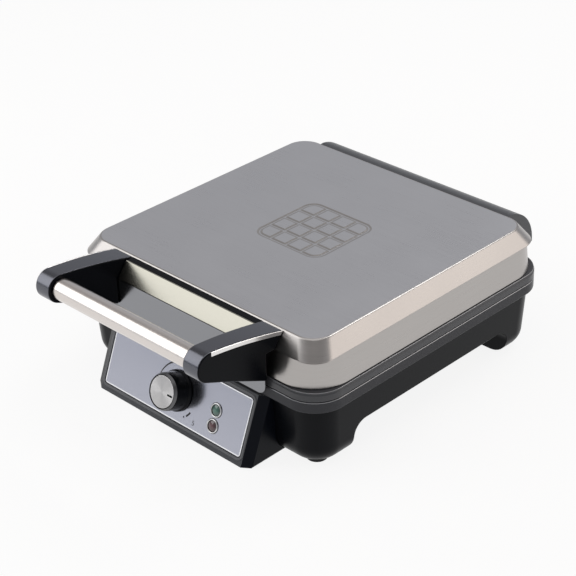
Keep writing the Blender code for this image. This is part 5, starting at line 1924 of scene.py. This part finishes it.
@dataclass(frozen=True)
class Handle:
    """Two moulded arms with bright strips, and the steel tube clamped between them."""

    inside: float = 0.0731
    width: float = 0.0188
    taper: float = 0.0025
    flare: float = 0.0028
    reach: float = 0.0845
    nose: float = 0.0121
    nose_drop: float = 0.0001
    nose_start: float = 86.0
    nose_end: float = 250.0
    rear_out: float = 0.0018
    top_drop: float = 0.0004
    crown: float = 0.0014
    belly_out: float = 0.0530
    belly_drop: float = 0.0213
    belly_round: float = 0.010
    heel_out: float = 0.0189
    heel_drop: float = 0.0368
    shelf_out: float = 0.0104
    shelf_drop: float = 0.0133
    edge: float = 0.0013
    trim_thick: float = 0.0011
    trim_height: float = 0.0036
    trim_end: float = 0.0006
    trim_slope: float = 0.693
    trim_edge: float = 0.0004
    tube_radius: float = 0.0090
    tube_wall: float = 0.0014
    top_steps: int = 12
    nose_steps: int = 28
    belly_steps: int = 8
    edge_steps: int = 4
    tube_edge_steps: int = 3
    sharp: float = 35.0

    def tube_out(self) -> float:
        """How far the tube's axis stands in front of the lid."""
        return self.reach - self.nose

    def top(self, share: float) -> Row:
        """A point on the arm's crowned top line.

        Args:
            share: How far along it the point is: 0 at the rear end, 1 at the nose.

        Returns:
            The (reach, rise) point.
        """
        turn = math.radians(self.nose_start)
        far_out = self.tube_out() - self.nose * math.cos(turn)
        far_up = self.nose * math.sin(turn) - self.nose_drop
        rise = -self.top_drop + (far_up + self.top_drop) * share + 4 * self.crown * share * (1 - share)
        return (self.rear_out + (far_out - self.rear_out) * share, rise)

    def outline(self) -> list[Row]:
        """The arm's side view, from its rear end along the top and back underneath.

        Returns:
            The (y, z) points.
        """
        points = []
        for step in range(self.top_steps):
            reach, rise = self.top(step / self.top_steps)
            points.append(LAYOUT.front(reach, -rise))
        nose_y, nose_z = LAYOUT.front(self.tube_out(), self.nose_drop)
        for step in range(self.nose_steps + 1):
            turn = math.radians(self.nose_start + (self.nose_end - self.nose_start) * step / self.nose_steps)
            points.append((nose_y + self.nose * math.cos(turn), nose_z + self.nose * math.sin(turn)))
        under = (
            points[-1],
            LAYOUT.front(self.belly_out, self.belly_drop),
            LAYOUT.front(self.heel_out, self.heel_drop),
        )
        points += Shape.softened(under, (0, self.belly_round, 0), self.belly_steps)[1:]
        points.append(LAYOUT.front(self.heel_out, self.shelf_drop))
        points.append(LAYOUT.front(self.shelf_out, self.shelf_drop))
        return points

    def trim_outline(self, grow: float, rise: float) -> list[Row]:
        """The bright strip's side view.

        Args:
            grow: A clearance by which it grows.
            rise: How far it is raised past the arm's top.

        Returns:
            The (y, z) points.
        """
        length = math.dist(self.top(0), self.top(1))
        last = 1 - (self.trim_end - grow) / length
        height = self.trim_height + grow
        lines = []
        for first, up in ((-rise / length, rise), ((height * self.trim_slope - rise) / length, -height)):
            line = []
            for step in range(self.top_steps + 1):
                reach, top = self.top(first + (last - first) * step / self.top_steps)
                line.append(LAYOUT.front(reach, -top - up))
            lines.append(line)
        return lines[0] + lines[1][::-1]

    def slant(self, out: float) -> float:
        """How far an arm's inner face stands outwards at a reach in front of the lid."""
        return self.taper * out / self.reach

    def slanted(self, mesh: bpy.types.Mesh, side: int) -> bpy.types.Mesh:
        """Slants the inner face outwards towards the nose, and the outer face outwards towards the lid.

        Args:
            mesh: The arm or what lies along its outer face.
            side: -1 on the left, 1 on the right.

        Returns:
            The mesh.
        """
        for vertex in mesh.vertices:
            out = LAYOUT.front_y() - vertex.co.y
            inner = abs(vertex.co.x) < self.inside + self.width / 2
            vertex.co.x += side * (self.slant(out) if inner else self.flare * (1 - out / self.reach))
        return mesh

    def arm(self, shop: Workshop, name: str, side: int) -> None:
        """Makes one arm and its strip.

        Args:
            shop: Where the pieces are finished.
            name: The side's name.
            side: -1 on the left, 1 on the right.
        """
        outside = self.inside + self.width
        seat = outside - self.trim_thick
        mesh = self.slanted(Shape.prism(self.outline(), side * self.inside, side * outside), side)
        mesh = shop.rounded(mesh, self.edge, self.edge_steps, self.sharp)
        outline = self.trim_outline(GAP, OVERRUN)
        rebate = Shape.prism(outline, side * (seat - GAP), side * (outside + OVERRUN))
        mesh = shop.cut(mesh, [self.slanted(rebate, side)])
        shop.stand_in(f"handle_arm_{name}", mesh, Look.arm_plastic, Body.LID)
        trim = self.slanted(Shape.prism(self.trim_outline(0, 0), side * seat, side * outside), side)
        shop.stand_in(f"arm_trim_{name}", trim, Look.bright_trim, Body.LID, edge=self.trim_edge)

    def build(self, shop: Workshop) -> None:
        """Makes the handle.

        Args:
            shop: Where the pieces are finished.
        """
        self.arm(shop, "left", -1)
        self.arm(shop, "right", 1)
        half = self.inside + self.slant(self.tube_out() - self.tube_radius) - GAP
        outer, inner = self.tube_radius, self.tube_radius - self.tube_wall
        rows = ((inner, -half), (inner, half), (outer, half), (outer, -half), (inner, -half))
        profile = Shape.softened(rows, (0, GAP, GAP, GAP, 0), self.tube_edge_steps)[:-1]
        tube = Shape.turned(profile, 2 * ROUND_STEPS)
        y, z = LAYOUT.front(self.tube_out(), self.nose_drop)
        tube.transform(Matrix.Translation((0, y, z)) @ Matrix.Rotation(math.pi / 2, 4, "Y"))
        shop.stand_in("handle_tube", tube, Look.tube_steel, Body.LID)


@dataclass(frozen=True)
class Bracket:
    """Black bar, sloping steel strip and upright steel apron in front of the lid."""

    half: float = 0.0728
    rear_out: float = 0.0018
    bar_depth: float = 0.0093
    top_drop: float = 0.0004
    strip_out: float = 0.0186
    strip_drop: float = 0.0131
    strip_sheet: float = 0.0010
    strip_edge: float = 0.00035
    bar_edge: float = 0.0005
    foot_out: float = 0.0104
    apron_half: float = 0.0907
    apron_top: float = 0.0136
    apron_drop: float = 0.0512
    apron_sheet: float = 0.0010
    apron_corner: float = 0.008
    apron_edge: float = 0.0003

    def build(self, shop: Workshop) -> None:
        """Makes the bar, strip and apron.

        Args:
            shop: Where the pieces are finished.
        """
        high, low = Vector((self.bar_depth, self.top_drop)), Vector((self.strip_out, self.strip_drop))
        fall = (low - high).normalized().y
        inward = Vector((-self.strip_sheet / fall, 0))
        seat = inward - Vector((GAP / fall, 0))
        strip = (high, low, low + inward, high + inward)
        bar = ((self.rear_out, self.top_drop), high + seat, low + seat, (self.foot_out, self.strip_drop))
        for node, corners, finish, edge in (
            ("bracket_strip", strip, Look.strip_steel, self.strip_edge),
            ("bracket_bar", bar, Look.black_plastic, self.bar_edge),
        ):
            mesh = Shape.prism([LAYOUT.front(*corner) for corner in corners], -self.half, self.half)
            shop.stand_in(node, mesh, finish, Body.LID, edge=edge)
        half_height = (self.apron_drop - self.apron_top) / 2
        outline = Shape.rectangle(self.apron_half, half_height, self.apron_corner)
        apron = Shape.sheet([outline], self.apron_sheet)
        y, z = LAYOUT.front(self.strip_out, self.apron_top + half_height)
        apron.transform(Matrix.Translation((0, y, z)) @ Matrix.Rotation(math.pi / 2, 4, "X"))
        shop.stand_in("bracket_apron", apron, Look.apron_steel, Body.LID, edge=self.apron_edge)


@dataclass(frozen=True)
class RearCover:
    """Quarter-round cover along the lid's rear edge, hollow below for the hinges."""

    half: float = 0.106
    reach: float = 0.0350
    rise: float = 0.0345
    edge_out: float = 0.0012
    top_drop: float = 0.0007
    skirt: float = 0.002
    wall: float = 0.0025
    start: float = 84.0
    inner_start: float = 64.0
    seat: float = 3 * GAP
    clear: float = 2 * GAP
    edge: float = 0.0010
    edge_steps: int = 3
    sharp: float = 35.0
    steps: int = 28

    def arc(self, inset: float, start: float) -> list[Row]:
        """The quarter round as (y, z) points.

        Args:
            inset: The wall by which it is taken in.
            start: The angle in degrees from which it falls to the rear.

        Returns:
            The points.
        """
        middle_y = LAYOUT.middle_y + LAYOUT.half_y + self.edge_out
        middle_z = LAYOUT.lid_top - self.top_drop - self.rise
        points = []
        for step in range(self.steps + 1):
            turn = math.radians(start * (1 - step / self.steps))
            y = middle_y + (self.reach - inset) * math.cos(turn)
            points.append((y, middle_z + (self.rise - inset) * math.sin(turn)))
        return points

    def build(self, shop: Workshop, cover: LidCover) -> None:
        """Makes the cover.

        Args:
            shop: Where the piece is finished.
            cover: The lid's steel cover, against which it sits.
        """
        at = LAYOUT
        rear = at.middle_y + at.half_y
        low = at.lid_top - self.top_drop - self.rise - self.skirt
        back = rear + self.edge_out + self.reach
        side = at.middle_y + at.rim_y + self.clear
        outline = [(rear + self.edge_out + self.seat, at.lid_top - self.edge_out)] + self.arc(0, self.start)
        outline += [
            (back, low),
            (side, low),
            (side, at.frame_top + self.clear),
            (rear + cover.band_out + self.clear, at.lid_top - cover.band_drop + GAP),
            (rear + cover.bevel_out + self.seat, at.lid_top - cover.bevel_drop),
        ]
        mesh = Shape.prism(outline, -self.half, self.half)
        mesh = shop.rounded(mesh, self.edge, self.edge_steps, self.sharp)
        inside = rear + cover.band_out + self.wall
        hollow = self.arc(self.wall, self.inner_start)
        hollow += [
            (back - self.wall, low - OVERRUN),
            (side - OVERRUN, low - OVERRUN),
            (side - OVERRUN, at.frame_top),
            (inside, at.frame_top + self.wall),
        ]
        half = self.half - self.wall
        mesh = shop.cut(mesh, [Shape.prism(hollow, -half, half)])
        shop.stand_in("rear_cover", mesh, Look.cover_plastic, Body.LID)


class Fittings:
    """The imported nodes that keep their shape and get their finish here."""

    finishes = (
        (Look.element_steel, ("lower_element", "upper_element")),
        (Look.aluminium, ("lower_reflector", "upper_reflector")),
        (Look.zinc, (
            "plate_post_front_left", "plate_post_front_right", "plate_post_rear_left",
            "plate_post_rear_right", "hinge_pin_left", "hinge_pin_right", "lid_hinge_arm_left",
            "lid_hinge_arm_right", "thermal_fuse", "bottom_screw_front_left", "bottom_screw_front_right",
            "bottom_screw_rear_left", "bottom_screw_rear_right", "handle_rod", "dial_shaft",
        )),
        (Look.black_plastic, ("hinge_fork_left", "hinge_fork_right", "bottom_cover", "bracket_carrier")),
        (Look.cream_plastic, ("terminal_block", "thermostat_body", "ready_lamp_body", "power_lamp_body")),
        (Look.rubber, ("cord_gland",)),
    )

    def build(self, shop: Workshop) -> None:
        """Dresses the nodes.

        Args:
            shop: Where they are finished.
        """
        for finish, nodes in self.finishes:
            shop.dress(finish, *nodes)


@dataclass(frozen=True)
class SoftBox:
    """One soft studio lamp: where it stands, its size, colour and brightness."""

    name: str
    place: Row
    size: Row
    radiance: float
    colour: Colour = WHITE

    def build(self, target: Vector) -> None:
        """Makes the lamp and points it at a place.

        Args:
            target: The place that it lights.
        """
        light = bpy.data.lights.new(self.name, "AREA")
        light.shape = "RECTANGLE"
        light.size, light.size_y = self.size
        light.color = self.colour
        light.energy = self.radiance * math.pi * self.size[0] * self.size[1]
        lamp = placed(self.name, light)
        lamp.location = self.place
        lamp.rotation_euler = (Vector(self.place) - target).to_track_quat("Z", "Y").to_euler()


@dataclass(frozen=True)
class Studio:
    """Pale floor, soft lamps, a plain grey room and the camera at the photographed angle."""

    target: Row = (0.0, 0.0, 0.05)
    floor_half: float = 6.0
    floor_colour: Colour = (0.93, 0.915, 0.90)
    floor_roughness: float = 0.9
    floor_glow_share: float = 0.88
    room_stops: tuple[tuple[float, Colour], ...] = (
        (0.0, (0.42, 0.44, 0.48)), (0.45, (0.50, 0.50, 0.515)),
        (0.56, (0.50, 0.50, 0.515)), (0.70, (0.33, 0.32, 0.32)),
    )
    azimuth: float = 45.40
    elevation: float = 30.05
    roll: float = -1.80
    unit: float = 0.125
    shift: Row = (-0.134, -0.381, 10.933)
    focal_pixels: float = 1683.9
    image_pixels: int = 576
    sensor: float = 36.0
    lamps: tuple[SoftBox, ...] = (
        SoftBox("front_softbox", (-0.95, -0.87, 0.89), (1.1, 1.45), 1.9),
        SoftBox("rear_softbox", (1.05, 0.95, 0.65), (1.0, 0.8), 1.35, (1.0, 0.91, 0.83)),
        SoftBox("overhead_softbox", (0.0, 0.0, 1.6), (1.5, 1.5), 0.7),
        SoftBox("rear_edge_light", (0.10, 1.02, 1.38), (0.8, 0.45), 4.5),
    )

    def room(self) -> None:
        """Makes the world: a grey room, bluer at the horizon and darker overhead, white to the camera."""
        world = bpy.context.scene.world or bpy.data.worlds.new("room")
        bpy.context.scene.world = world
        world.use_nodes = True
        graph = Graph(world.node_tree)
        up = graph.parts(graph.node("ShaderNodeTexCoord", output="Generated"))[2]
        colour = graph.node("ShaderNodeValToRGB", {"stops": self.room_stops}, {"Fac": up})
        seen = graph.node("ShaderNodeLightPath", output="Is Camera Ray")
        white = graph.blend(seen, colour, WHITE)
        background = world.node_tree.nodes["Background"]
        world.node_tree.links.new(white.socket, background.inputs["Color"])
        background.inputs["Strength"].default_value = 1.0

    def floor(self) -> None:
        """Makes the floor, which is white to the camera and in reflections and keeps the shadow."""
        bm = bmesh.new()
        bmesh.ops.create_grid(bm, x_segments=1, y_segments=1, size=self.floor_half)
        mesh = bpy.data.meshes.new("studio_floor")
        bm.to_mesh(mesh)
        bm.free()
        floor = placed("studio_floor", mesh)
        paper = bpy.data.materials.new("studio_paper")
        paper.use_nodes = True
        graph = Graph(paper.node_tree)
        shader = paper.node_tree.nodes["Principled BSDF"]
        shader.inputs["Base Color"].default_value = (*self.floor_colour, 1.0)
        shader.inputs["Roughness"].default_value = self.floor_roughness
        shader.inputs["Specular IOR Level"].default_value = 0.0
        glow = graph.node("ShaderNodeEmission", None, {"Color": (*WHITE, 1.0), "Strength": 1.0})
        paths = graph.node("ShaderNodeLightPath", output="Is Camera Ray").socket.node.outputs
        seen = Wire(graph, paths["Is Camera Ray"]) + Wire(graph, paths["Is Glossy Ray"])
        share = (seen + Wire(graph, paths["Is Transmission Ray"])) * self.floor_glow_share
        lit = Wire(graph, shader.outputs["BSDF"])
        mixed = graph.node("ShaderNodeMixShader", None, {0: share, 1: lit, 2: glow})
        output = paper.node_tree.nodes["Material Output"]
        paper.node_tree.links.new(mixed.socket, output.inputs["Surface"])
        mesh.materials.append(paper)

    def camera(self) -> None:
        """Makes the camera at the photographed angle."""
        turn, rise, roll = (math.radians(angle) for angle in (self.azimuth, self.elevation, self.roll))
        back = Vector((math.sin(turn) * math.cos(rise), -math.cos(turn) * math.cos(rise), math.sin(rise)))
        level = Vector((0, 0, 1)).cross(back).normalized()
        upright = back.cross(level)
        right = level * math.cos(roll) + upright * math.sin(roll)
        up = upright * math.cos(roll) - level * math.sin(roll)
        middle = Vector((0, LAYOUT.middle_y, LAYOUT.lid_top))
        place = middle + self.unit * (right * self.shift[0] + up * self.shift[1] + back * self.shift[2])
        data = bpy.data.cameras.new("photo_camera")
        data.sensor_width = self.sensor
        data.lens = self.sensor * self.focal_pixels / self.image_pixels
        camera = placed("photo_camera", data)
        axes = Matrix((right, up, back)).transposed().to_4x4()
        camera.matrix_world = Matrix.Translation(place) @ axes
        bpy.context.scene.camera = camera

    def build(self) -> None:
        """Sets the view, the room, the floor, the lamps and the camera."""
        bpy.context.scene.view_settings.view_transform = "Standard"
        self.room()
        self.floor()
        for lamp in self.lamps:
            lamp.build(Vector(self.target))
        self.camera()


def main() -> None:
    """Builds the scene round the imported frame."""
    logging.basicConfig(level=logging.INFO, format="%(message)s")
    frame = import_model()
    Studio().build()
    shop = Workshop(frame)
    cover, base = LidCover(), BaseShell()
    cover.build(shop)
    LidFrame().build(shop)
    base.build(shop)
    Feet().build(shop)
    PlateDeck().build(shop)
    GridPlate().build(shop)
    ControlHousing().build(shop, base)
    PanelPlate().build(shop)
    Lamps().build(shop)
    Dial().build(shop)
    Handle().build(shop)
    Bracket().build(shop)
    RearCover().build(shop, cover)
    Fittings().build(shop)
    LOG.info("%d pieces", shop.made)


if __name__ == "__main__":
    main()
